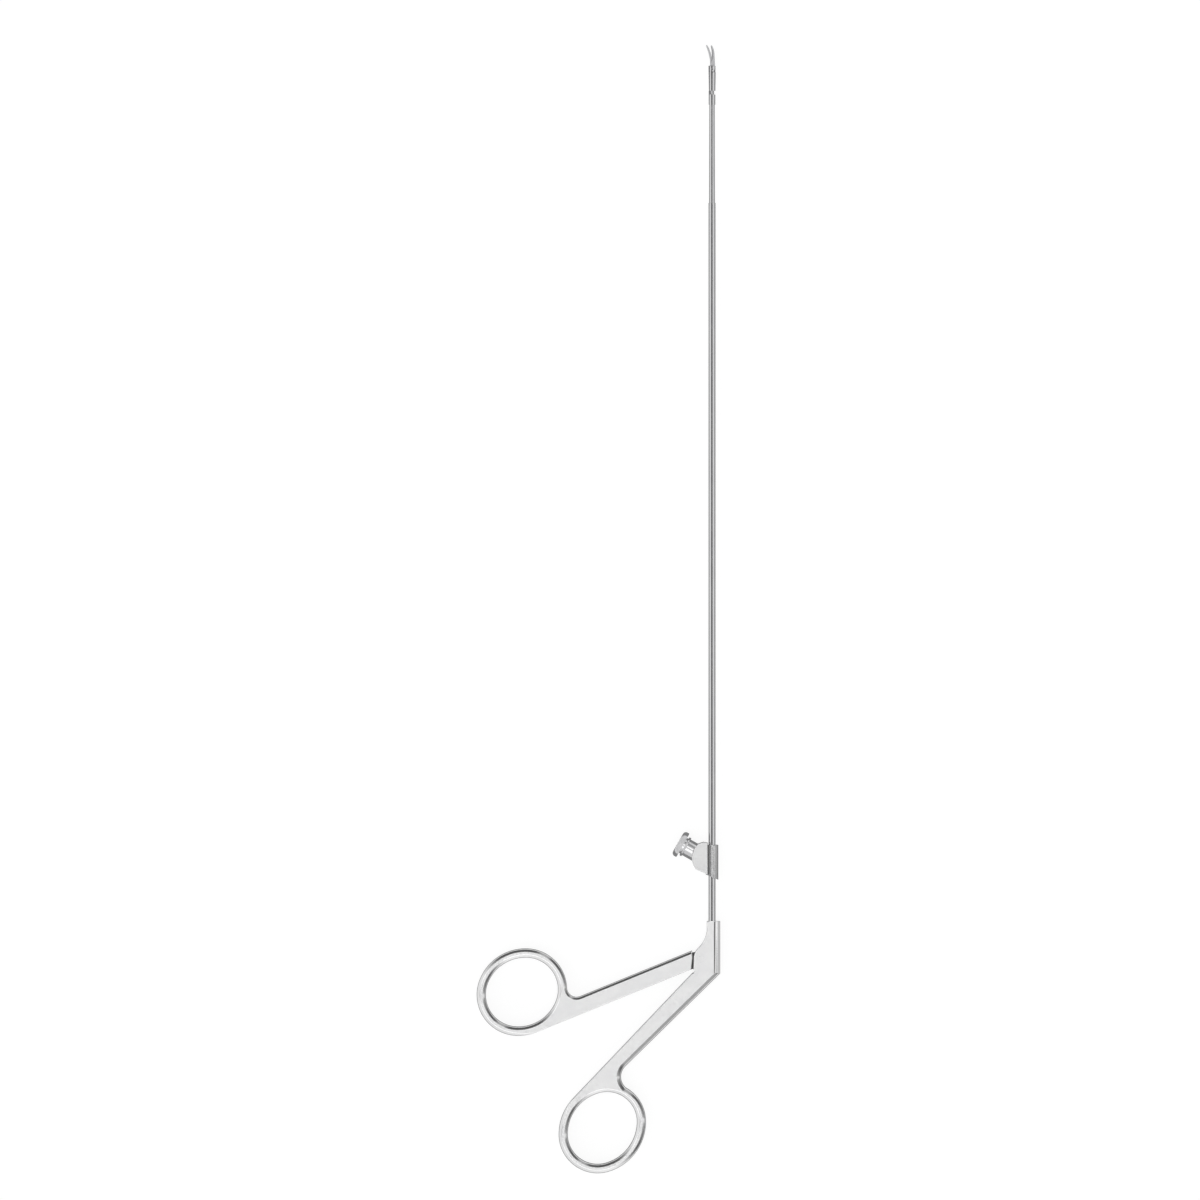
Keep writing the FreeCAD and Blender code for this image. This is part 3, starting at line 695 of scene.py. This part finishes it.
def rounded_plate(name: str, loops: Sequence[Sequence[Spot]], low: float, high: float) -> Thing:
    """A plate with worn edges from its outlines.

    Args:
        name: the object's name.
        loops: the outlines, each with the material at the left of the way along it.
        low: the underside, in millimetres.
        high: the upper face, in millimetres.

    Returns:
        The new object, a closed solid.
    """
    mesh = bmesh.new()
    caps: list[tuple[Ring, Ring]] = []
    for loop in loops:
        inward = []
        for i, spot in enumerate(loop):
            before, after = loop[i - 1], loop[(i + 1) % len(loop)]
            sides = []
            for a, b in ((before, spot), (spot, after)):
                way = Vector((b.x - a.x, b.y - a.y)).normalized()
                sides.append(Vector((-way.y, way.x)))
            reach = max(1 + sides[0].dot(sides[1]), MITRE_LIMIT)
            inward.append((sides[0] + sides[1]) / reach)
        layers = []
        for level, up in ((low, 1), (high, -1)):
            for across, drop in EDGE_SHAPE if up == 1 else reversed(EDGE_SHAPE):
                layer = []
                for spot, inner in zip(loop, inward):
                    inset = spot.rounding * across
                    rise = level + up * spot.rounding * drop
                    at = Vector((spot.x + inner.x * inset, spot.y + inner.y * inset, rise))
                    layer.append(mesh.verts.new(at * MM))
                layers.append(layer)
        skin(mesh, layers)
        caps.append((layers[0], layers[-1]))
    for side in (0, 1):
        rims = [cap[side] for cap in caps]
        flat = [vertex for rim in rims for vertex in rim]
        for three in tessellate_polygon([[vertex.co for vertex in rim] for rim in rims]):
            mesh.faces.new([flat[i] for i in three])
    bmesh.ops.recalc_face_normals(mesh, faces=mesh.faces)
    return finish_mesh(name, mesh)


def on_shaft(name: str, profile: Iterable[Point], closed: bool = False) -> Thing:
    """A round piece on the shaft's axis, whose profile's Y is the place along the shaft."""
    return lathe(name, profile, closed=closed, at=(SHAFT_X, 0, SHAFT_Z))


# ---------------- sub-assemblies

Row = tuple[Thing, str, Body, SteelFinish, Slot]


class Assembly:
    """Pieces that stand for solids: each with its node, body, finish and material slot."""

    def pieces(self) -> Iterable[Row]:
        """Make the pieces."""
        raise NotImplementedError

    def build(self) -> list[str]:
        """Make the pieces, dress them and let each one stand for its solid.

        Returns:
            The names of the pieces.
        """
        names = []
        for piece, node, body, finish, slot in self.pieces():
            dress(piece, finish)
            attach(piece, body.value)
            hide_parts(node)
            names.append(piece.name)
        return names


@dataclass(frozen=True)
class FingerRing:
    """An oval finger ring of four arcs, with sizes in millimetres and angles in degrees.

    Args:
        side: how far its middle lies to the left of the pivot.
        low: how far its middle lies below the pivot.
        long: the half length of its outside.
        short: the half width of its outside.
        tilt: the long axis's angle from X.
        band: the width of its band.
        rounding: the width of its worn edges.
        step: the angle between two points.
        blend: the angle over which the arm's worn edge changes to the ring's.
    """

    side: float
    low: float
    long: float
    short: float
    tilt: float
    band: float = 2.6
    rounding: float = 0.95
    step: float = 2.5
    blend: float = 28.0
    hole_steps: int = 132

    def spot(self, facing: float, inset: float, rounding: float) -> Spot:
        """The point of the outline whose outward side faces an angle from the long axis.

        The arcs' centres lie on the oval's axes, and with the middle they form 3-4-5 triangles.

        Args:
            facing: the angle, in degrees.
            inset: how far inside the outside outline the point lies.
            rounding: the width of the worn edge there.

        Returns:
            The point.
        """
        turn = math.radians(facing)
        corner = math.degrees(math.atan2(4, 3))
        folded = (facing + 180) % 360 - 180
        spread = self.long - self.short
        end_radius = 1.5 * self.short - 0.5 * self.long
        side_radius = 2 * self.long - self.short
        if abs(folded) <= corner:
            centre, radius = Vector((1.5 * spread, 0)), end_radius
        elif abs(folded) >= 180 - corner:
            centre, radius = Vector((-1.5 * spread, 0)), end_radius
        else:
            centre, radius = Vector((0, math.copysign(2 * spread, -folded))), side_radius
        local = centre + Vector((math.cos(turn), math.sin(turn))) * (radius - inset)
        local.rotate(Matrix.Rotation(math.radians(self.tilt), 2))
        return Spot(local.x - self.side, local.y - self.low, rounding)

    def outside(self, first: float, last: float, at_first: float, at_last: float) -> list[Spot]:
        """The outside outline between two facings, counterclockwise.

        Args:
            first: the facing where it starts, in degrees.
            last: the facing where it ends, larger than the first.
            at_first: the worn edge's width where it starts.
            at_last: the worn edge's width where it ends.

        Returns:
            The points, with both ends.
        """
        steps = round((last - first) / self.step)
        spots = []
        for i in range(steps + 1):
            facing = first + (last - first) * i / steps
            near = min(facing - first, last - facing)
            edge = at_first if facing - first < last - facing else at_last
            share = ease(min(near / self.blend, 1.0))
            spots.append(self.spot(facing, 0.0, edge + (self.rounding - edge) * share))
        return spots

    def hole(self) -> list[Spot]:
        """The inside outline, clockwise, so that the band is at its left."""
        turns = [-360 * i / self.hole_steps for i in range(self.hole_steps)]
        return [self.spot(turn, self.band, self.rounding) for turn in turns]


@dataclass
class RingHandles(Assembly):
    """The body with the lower arm, the upper arm with its tongue, and the pivot pin.

    Sizes are in millimetres from the pivot, and angles in degrees. The body's back is a shallow curve that
    starts back_width in from it with the slope crease and ends with the slope back_tilt. The last
    four are the worn edges' widths: along both arms, in the shade, and at the body.
    """

    thickness: float = 5.2
    front: float = 10.9
    back: float = 5.65
    back_width: float = 1.83
    crease: float = 4.0
    back_tilt: float = 45.0
    back_steps: int = 12
    far_side: float = -80.0
    bore_start: float = 2.4
    pocket: tuple[Point, Point] = ((-6.0, -3.3), (4.9, 2.9))
    pocket_play: float = 0.05
    tongue: Pair = (1.1, 4.1)
    tongue_outline: tuple[Point, ...] = (
        (4.5, -1.65), (4.6, 0.8), (0.4, 2.35), (-3.4, 1.8), (-3.4, -2.95), (0.2, -2.35)
    )
    rod_end_slot: tuple[Corner, Corner] = ((1.7, -6.0, 1.85), (6.3, 6.0, 3.35))
    cross_hole: Pair = (0.5, -0.32)
    pin_radius: float = 0.9
    pin_play: float = 0.02
    pin_lip: float = 0.012
    lower: FingerRing = FingerRing(28.0, 48.1, 13.35, 11.85, 53.0)
    upper: FingerRing = FingerRing(50.95, 9.35, 13.1, 12.15, 32.0)
    lower_facings: Pair = (83.4, 368.54)
    upper_facings: Pair = (-29.36, 260.0)
    edge: float = 0.2
    upper_edge: float = 0.8
    shade_edge: float = 1.25
    fine_edge: float = 0.18

    def back_slab(self) -> Thing:
        """The space that the body's plate may fill, whose back curves down towards both faces.

        Returns:
            The space, as a tool.
        """
        first, last = math.radians(self.crease), math.radians(self.back_tilt)
        radius = self.back_width / (math.sin(last) - math.sin(first))
        upper = []
        for i in range(self.back_steps + 1):
            turn = first + (last - first) * i / self.back_steps
            across = self.back - self.back_width + radius * (math.sin(turn) - math.sin(first))
            upper.append((across, self.thickness - radius * (math.cos(first) - math.cos(turn))))
        lower = [(across, self.thickness - z) for across, z in upper]
        far = self.far_side
        section = [(far, self.thickness), (far, 0.0), *lower, *reversed(upper)]
        mesh = bmesh.new()
        ends = [
            [mesh.verts.new(Vector((x, y, z)) * MM) for x, z in section] for y in (far, self.front + 5)
        ]
        mesh.faces.new(ends[0])
        mesh.faces.new(list(reversed(ends[1])))
        skin(mesh, ends)
        bmesh.ops.recalc_face_normals(mesh, faces=mesh.faces)
        return finish_mesh("back_slab", mesh)

    def fixed(self) -> Thing:
        """The body and the lower arm, with its ring, the pocket, the shaft's bore and the pivot hole.

        Returns:
            The plate.
        """
        fine, edge, shade = self.fine_edge, self.edge, self.shade_edge
        past = self.back + 1.0
        ring = self.lower.outside(*self.lower_facings, edge, shade)
        throat = Spot(-21.301, -30.400, shade)
        foot = Spot(past, -3.02, shade)
        crotch = Spot(-2.31, -3.9, fine)
        outline = [
            Spot(past, self.front, fine),
            Spot(1.83, self.front, fine),
            *bend(Spot(1.83, 8.2, fine), Spot(0.3, 4.25, fine), radius=-8.3),
            Spot(0.3, 4.25, fine),
            *bend(Spot(-1.25, 2.5, fine), Spot(-1.9, 0.84, fine), radius=6.0),
            Spot(-1.9, 0.84, fine),
            *bend(Spot(-2.0, -2.95, fine), crotch, radius=-0.52),
            *straight(crotch, ring[0], ramp=3.0, rounding=edge)[:-1],
            *ring[:-1],
            *bend(ring[-1], throat, radius=-4.2),
            *straight(throat, foot, ramp=3.0, rounding=shade),
            foot,
        ]
        plate = rounded_plate("body_and_lower_arm", [outline, self.lower.hole()], 0, self.thickness)
        carve(plate, Carve.COMMON, self.back_slab())
        corners = zip(self.pocket, self.tongue, (-self.pocket_play, self.pocket_play))
        pocket = box("pocket", *((*corner, level + play) for corner, level, play in corners))
        bore = on_shaft("bore", [(TUBE_RADIUS, self.bore_start), (TUBE_RADIUS, self.front + 1)])
        hole = drill(self.pin_radius, (0, 0), -1, self.thickness + 1)
        return carve(plate, Carve.AWAY, pocket, bore, hole)

    def moving(self) -> Thing:
        """The upper arm with its ring, and the tongue that turns in the body's pocket.

        Returns:
            The arm.
        """
        fine, edge, upper = self.fine_edge, self.edge, self.upper_edge
        ring = self.upper.outside(*self.upper_facings, upper, edge)
        throat = Spot(-34.368, -10.537, upper)
        shoulder = Spot(-2.4, 2.5, fine)
        heel = Spot(-2.6, -2.85, fine)
        outline = [
            heel,
            Spot(-2.31, 0.37, fine),
            *straight(shoulder, throat, ramp=0.5, rounding=upper),
            *bend(throat, ring[0], radius=-2.7),
            *ring[:-1],
            *straight(ring[-1], heel, ramp=2.0, rounding=edge),
        ]
        plate = rounded_plate("upper_arm", [outline, self.upper.hole()], 0, self.thickness)
        carve(plate, Carve.JOINED, prism("tongue", self.tongue_outline, *self.tongue))
        slot = box("rod_end_slot", *self.rod_end_slot)
        pivot = drill(self.pin_radius + self.pin_play, (0, 0), *POCKETS)
        cross_radius, cross_y = self.cross_hole
        cross = drill(cross_radius, (SHAFT_X, cross_y), *POCKETS)
        return carve(plate, Carve.AWAY, slot, pivot, cross)

    def pin(self) -> Thing:
        """The pivot pin, ground flush, with a hair-fine broken edge at both faces.

        Returns:
            The pin.
        """
        narrow, wide = self.pin_radius - self.pin_lip, self.pin_radius
        low, high = self.pin_lip, self.thickness - self.pin_lip
        profile = [(narrow, 0.0), (wide, low), (wide, high), (narrow, self.thickness)]
        pin = lathe("pivot_pin", profile, steps=64)
        pin.data.transform(Matrix.Rotation(math.pi / 2, 4, "X"))
        return pin

    def pieces(self) -> Iterable[Row]:
        """Make both handles and the pin."""
        made = (
            (self.fixed(), "fixed_handle", Body.FRAME),
            (self.moving(), "moving_handle", Body.MOVING),
            (self.pin(), "handle_pin", Body.FRAME),
        )
        for piece, node, body in made:
            settle_shading(piece)
            yield piece, node, body, SATIN, Slot.SATIN


@dataclass
class Shaft(Assembly):
    """The main tube and the thinner front tube, with sizes in millimetres.

    The front tube keeps its radius for free_length and then narrows down to the head's collar.
    """

    main_bore: float = 0.78
    main_start: float = 5.9
    main_end: float = 215.8
    front_radius: float = 0.83
    front_tip_radius: float = 0.77
    front_bore: float = 0.67
    front_start: float = 209.8
    front_end: float = 246.0
    free_length: float = 1.2
    collar: float = 243.8
    lip: float = 0.06

    def main_tube(self) -> Thing:
        """The main tube, with the step in its bore that the thinner tube is pushed against.

        Returns:
            The tube.
        """
        profile = [
            (self.main_bore, self.main_start),
            (TUBE_RADIUS, self.main_start),
            (TUBE_RADIUS, self.main_end - self.lip),
            (TUBE_RADIUS - self.lip, self.main_end),
            (self.front_radius, self.main_end),
            (self.front_radius, self.front_start),
            (self.main_bore, self.front_start),
        ]
        return on_shaft("main_tube", profile, closed=True)

    def slim_tube(self) -> Thing:
        """The thinner tube, drawn down a little towards the head.

        Returns:
            The tube.
        """
        profile = [
            (self.front_bore, self.front_start),
            (self.front_radius, self.front_start),
            (self.front_radius, self.main_end + self.free_length),
            (self.front_tip_radius, self.collar),
            (self.front_tip_radius, self.front_end),
            (self.front_bore, self.front_end),
        ]
        return on_shaft("slim_tube", profile, closed=True)

    def pieces(self) -> Iterable[Row]:
        """Make both tubes."""
        for piece, node in ((self.main_tube(), "shaft_tube"), (self.slim_tube(), "front_tube")):
            yield piece, node, Body.FRAME, MIRROR, Slot.POLISHED


@dataclass
class FlushingPort(Assembly):
    """The sleeve with its flat block, and the angled connector that stands on it.

    Sizes are in millimetres. The port's axis leaves the shaft's at the height, with the angle in degrees
    between them, and the sizes from socket_start on are measured along it.
    """

    height: float = 27.8
    angle: float = 60.5
    sleeve_radius: float = 1.8
    sleeve_foot: float = 22.7
    sleeve_top: float = 32.7
    sleeve_lip: float = 0.22
    slant: float = 1.5
    block_side: float = 1.25
    block_depth: float = 4.6
    block_edge: float = 0.14
    socket_radius: float = 1.5
    channel_radius: float = 0.6
    barrel_radius: float = 2.55
    ring_radius: float = 2.95
    rim_radius: float = 3.85
    rim_rounding: float = 1.0
    rim_steps: int = 8
    lip: float = 0.12
    flats: float = 5.2
    mouth_radius: float = 2.135
    mouth_taper: float = 0.03
    socket_start: float = 4.6
    socket_end: float = 9.0
    spigot_end: float = 6.6
    channel_end: float = 7.0
    barrel_start: float = 3.6
    barrel_end: float = 8.4
    groove: Corner = (9.05, 9.55, 2.45)
    end: float = 11.15
    mouth_depth: float = 4.4

    def block_outline(self, edge: float) -> list[Spot]:
        """The block's outline, round the place where the port's axis meets the shaft's.

        Args:
            edge: the width of its worn edge.

        Returns:
            The points, counterclockwise.
        """
        x, y = SHAFT_X, self.height
        foot_left, foot_right = Spot(x - 4.82, y - 1.78, edge), Spot(x - 4.5, y - 2.15, edge)
        return [
            Spot(x - self.block_side, y + 5.5, edge),
            Spot(x - 2.5, y + 5.7, edge),
            *bend(Spot(x - 3.8, y + 5.3, edge), foot_left, radius=5.24, steps=16),
            *bend(foot_left, foot_right, radius=0.5, steps=6),
            foot_right,
            Spot(x - self.block_side, y - 3.6, edge),
        ]

    def on_port_axis(self, name: str, profile: Iterable[Point], steps: int = 96) -> Thing:
        """A round piece on the port's axis, whose profile's Y is the place along that axis."""
        return lathe(name, profile, steps, at=(SHAFT_X, self.height, SHAFT_Z), turn=self.angle)

    def rod(self, name: str, radius: float, start: float, end: float, steps: int = 96) -> Thing:
        """A plain round tool on the port's axis, between two places along it."""
        return self.on_port_axis(name, [(radius, start), (radius, end)], steps)

    def channel(self) -> Thing:
        """The way from the port's mouth into the tube, as a tool."""
        return self.rod("channel", self.channel_radius, 0, self.channel_end, steps=32)

    def saddle(self) -> Thing:
        """The sleeve, cut slantwise at its foot, and the block.

        Returns:
            The saddle.
        """
        foot, top, radius, lip = self.sleeve_foot, self.sleeve_top, self.sleeve_radius, self.sleeve_lip
        profile = [
            (radius, foot),
            (radius, top - lip),
            (radius - 0.3 * lip, top - 0.3 * lip),
            (radius - lip, top),
        ]
        sleeve = on_shaft("port_sleeve", profile)
        left, right = SHAFT_X - 2 * radius, SHAFT_X + 2 * radius
        below_cut = [
            (left, foot - 1),
            (right, foot - 1),
            (right, foot),
            (SHAFT_X + radius, foot),
            (SHAFT_X - radius, foot + self.slant),
            (left, foot + self.slant),
        ]
        slope = prism("slant", below_cut, -2, 8)
        half = self.block_depth / 2
        outline = self.block_outline(self.block_edge)
        carve(sleeve, Carve.JOINED, rounded_plate("block", [outline], SHAFT_Z - half, SHAFT_Z + half))
        tube = on_shaft("tube_way", [(TUBE_RADIUS, foot - 2), (TUBE_RADIUS, top + 2)])
        socket = self.rod("socket", self.socket_radius, self.socket_start, self.socket_end)
        return carve(sleeve, Carve.AWAY, slope, tube, socket, self.channel())

    def connector(self) -> Thing:
        """The barrel with its ring, its groove, its rounded rim and its tapered mouth.

        Returns:
            The connector.
        """
        groove_start, groove_end, groove_radius = self.groove
        lip = self.lip
        profile = [
            (self.barrel_radius, self.barrel_start),
            (self.barrel_radius, self.barrel_end),
            (self.ring_radius - lip, self.barrel_end),
            (self.ring_radius, self.barrel_end + lip),
            (self.ring_radius, groove_start - lip),
            (self.ring_radius - lip, groove_start),
            (groove_radius, groove_start),
            (groove_radius, groove_end),
            (self.rim_radius - lip, groove_end),
            (self.rim_radius, groove_end + lip),
        ]
        for i in range(self.rim_steps + 1):
            turn = math.pi / 2 * i / self.rim_steps
            radius = self.rim_radius - self.rim_rounding * (1 - math.cos(turn))
            profile.append((radius, self.end - self.rim_rounding * (1 - math.sin(turn))))
        barrel = self.on_port_axis("port_barrel", profile)
        seat = prism("seat", [(spot.x, spot.y) for spot in self.block_outline(0.0)], -2, 8)
        carve(barrel, Carve.AWAY, seat)
        spigot = self.rod("spigot", self.socket_radius, self.socket_start, self.spigot_end)
        carve(barrel, Carve.JOINED, spigot)
        carve(barrel, Carve.COMMON, box("flats", (-30, 10, 0), (10, 50, self.flats)))
        bottom_radius = self.mouth_radius - self.mouth_taper * self.mouth_depth
        mouth = [
            (bottom_radius, self.end - self.mouth_depth),
            (self.mouth_radius + self.mouth_taper, self.end + 1),
        ]
        return carve(barrel, Carve.AWAY, self.on_port_axis("mouth", mouth), self.channel())

    def pieces(self) -> Iterable[Row]:
        """Make the saddle and the connector."""
        made = ((self.saddle(), "port_saddle", PORT), (self.connector(), "port_connector", CONNECTOR))
        for piece, node, finish in made:
            settle_shading(piece)
            yield piece, node, Body.FRAME, finish, Slot.POLISHED


@dataclass
class SolidsInUse:
    """The solids that keep their own mesh and only get a finish."""

    polished: tuple[str, ...] = ("jaw_head", "jaw_pin")
    ground: tuple[str, ...] = ("front_blade", "rear_blade")
    drive: tuple[str, ...] = (
        "guide_bush", "actuating_rod", "rod_end", "rod_end_pin", "rod_fork", "drive_pin"
    )
    rubber: tuple[str, ...] = ("rod_seal",)

    def build(self) -> list[str]:
        """Dress every solid that no new piece stands for.

        Returns:
            The names of the dressed solids.
        """
        finishes = {MIRROR: self.polished, GROUND: self.ground, DRIVE: self.drive, SEAL: self.rubber}
        for finish, names in finishes.items():
            for name in names:
                dress(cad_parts[name], finish)
        return [name for names in finishes.values() for name in names]


# ---------------- studio


@dataclass
class Studio:
    """The floor, the light and the camera.

    The light depends on its direction alone, whose X, Y and Z run from -1 to 1. Pairs are starts and ends.
    """

    # The camera's height, the level of the part's side, the picture's width there and its middle, in
    # metres, and the sensor's width in millimetres.
    distance: float = 5.0
    part_height: float = 0.0035
    view_width: float = 0.3423
    centre: Point = (-0.02866, 0.1025)
    sensor: float = 36.0
    # The floor's side, its middle's Y and its level, in metres.
    floor_size: float = 3.0
    floor_middle: float = 0.1
    floor_level: float = -0.0001
    # How light the floor is, the share that shows a shadow, and its own light to steel and the camera.
    floor_lit: float = 0.85
    floor_shade: float = 0.16
    floor_glow: Pair = (0.2, 0.9)
    # The light from the left and the right along X, and what is added overhead, by Z and |Y|.
    side_light: Pair = (1.05, 1.2)
    sides: Pair = (-0.35, 0.3)
    top_light: float = 1.1
    overhead: Pair = (0.72, 0.92)
    beside: Pair = (0.07, 0.2)
    # What is left of the light far to the right, along X.
    far_light: float = 0.58
    far_right: Pair = (0.74, 0.86)
    # The dark strip overhead, for the tube's line: its ends along X, half its width and its depth.
    strip: Pair = (-0.58, 0.42)
    strip_half: float = 0.06
    strip_depth: float = 0.85
    # The dark flags, for the bevels' lines: their edges along Z, their middle's bearing and their reach in
    # degrees, where they set in by |Y|, and how their depth grows with |Y|.
    flags: Pair = (0.42, 0.93)
    bearing: float = 44.0
    reach: Pair = (76.0, 114.0)
    gap: Pair = (0.036, 0.055)
    deepening: Pair = (0.0, 0.45)
    depth: Pair = (0.62, 0.94)
    # The thinner part of the flags, in degrees from their middle, and the share of their depth there.
    window: Pair = (7.0, 26.0)
    window_depth: float = 0.6
    # What a flag of full depth leaves of the light.
    dark: float = 0.05

    def floor(self) -> None:
        """Make a plain white floor that shows white to the camera and keeps a faint shadow."""
        mesh = bmesh.new()
        bmesh.ops.create_grid(mesh, x_segments=1, y_segments=1, size=self.floor_size / 2)
        floor = finish_mesh("floor", mesh)
        floor.location = (0, self.floor_middle, self.floor_level)
        material, nodes = new_material("pale_floor")
        path = nodes.add("ShaderNodeLightPath")
        seen = path.outputs["Is Camera Ray"]
        for kind in ("Is Glossy Ray", "Is Transmission Ray"):
            seen = nodes.math("MAXIMUM", seen, path.outputs[kind])
        matt, shade = (nodes.add("ShaderNodeBsdfDiffuse") for _ in range(2))
        for diffuse, light in ((matt, self.floor_lit), (shade, self.floor_shade)):
            diffuse.inputs["Color"].default_value = (light, light, light, 1)
        glow = nodes.add("ShaderNodeEmission")
        glow.inputs["Color"].default_value = (1, 1, 1, 1)
        strength = nodes.ramp(path.outputs["Is Camera Ray"], 0.0, 1.0, *self.floor_glow)
        nodes.feed(glow.inputs["Strength"], strength)
        both = nodes.add("ShaderNodeAddShader")
        nodes.feed(both.inputs[0], shade.outputs[0])
        nodes.feed(both.inputs[1], glow.outputs[0])
        pick = nodes.add("ShaderNodeMixShader")
        nodes.feed(pick.inputs["Fac"], seen)
        nodes.feed(pick.inputs[1], matt.outputs[0])
        nodes.feed(pick.inputs[2], both.outputs[0])
        nodes.surface(pick.outputs[0])
        floor.data.materials.append(material)

    def light(self) -> None:
        """Set up light from all round, a little brighter at the right and brightest overhead."""
        world = bpy.data.worlds.new("studio_light")
        bpy.context.scene.world = world
        world.use_nodes = True
        nodes = Nodes(world.node_tree)
        way = nodes.add("ShaderNodeSeparateXYZ")
        nodes.feed(way.inputs[0], nodes.add("ShaderNodeTexCoord").outputs["Generated"])
        x, y, z = way.outputs
        beside = nodes.math("ABSOLUTE", y)

        sides = nodes.ramp(x, *self.sides, *self.side_light)
        rise = nodes.ramp(z, *self.overhead, 0.0, self.top_light)
        light = nodes.math("ADD", sides, nodes.product(nodes.ramp(beside, *self.beside), rise))
        light = nodes.product(light, nodes.ramp(x, *self.far_right, 1.0, self.far_light))

        width = nodes.band(y, -self.strip_half, self.strip_half, 0.02)
        above = nodes.ramp(z, 0.0, 0.1, 0.0, self.strip_depth)
        strip = nodes.product(nodes.band(x, *self.strip, 0.05), width, above)

        across = self.toward(nodes, x, y, self.bearing + 90)
        turn = nodes.math("ARCTAN2", across, self.toward(nodes, x, y, self.bearing))
        wide = nodes.ramp(nodes.math("ABSOLUTE", turn), *map(math.radians, self.reach), 1.0, 0.0)
        low = nodes.band(z, *self.flags, 0.04)
        gap = nodes.ramp(beside, *self.gap)
        depth = nodes.ramp(beside, *self.deepening, *self.depth)
        window = nodes.band(turn, *map(math.radians, self.window), math.radians(6))
        thin = nodes.ramp(window, 0.0, 1.0, 1.0, self.window_depth)
        flags = nodes.product(wide, low, gap, depth, thin)

        shade = nodes.math("MAXIMUM", strip, flags)
        left_over = nodes.math("SUBTRACT", 1.0, nodes.product(shade, 1.0 - self.dark))
        path = nodes.add("ShaderNodeLightPath")
        camera = path.outputs["Is Camera Ray"]
        back = nodes.add("ShaderNodeBackground")
        strength = nodes.math("MAXIMUM", nodes.product(light, left_over), camera)
        nodes.feed(back.inputs["Strength"], strength)
        out = nodes.add("ShaderNodeOutputWorld")
        nodes.feed(out.inputs["Surface"], back.outputs[0])

    def toward(self, nodes: Nodes, x: Socket, y: Socket, bearing: float) -> Socket:
        """How far a direction leans towards a bearing in degrees from +X."""
        turn = math.radians(bearing)
        return nodes.math("ADD", nodes.product(x, math.cos(turn)), nodes.product(y, math.sin(turn)))

    def camera(self) -> None:
        """Put the camera straight above, with the photograph's framing."""
        data = bpy.data.cameras.new("camera")
        camera = bpy.data.objects.new("camera", data)
        bpy.context.scene.collection.objects.link(camera)
        data.sensor_width = self.sensor
        data.lens = self.sensor * (self.distance - self.part_height) / self.view_width
        data.clip_end = 20.0
        camera.location = (*self.centre, self.distance)
        bpy.context.scene.camera = camera

    def build(self) -> None:
        """Set up the floor, the light, the camera and the view settings."""
        self.floor()
        self.light()
        self.camera()
        bpy.context.scene.view_settings.view_transform = "Standard"


def main() -> None:
    """Build the part's pieces in order and report each one."""
    logging.basicConfig(level=logging.INFO, format="%(message)s")
    Studio().build()
    for assembly in (SolidsInUse(), RingHandles(), Shaft(), FlushingPort()):
        for name in assembly.build():
            log.info("%s: %s", type(assembly).__name__, name)


if __name__ == "__main__":
    main()
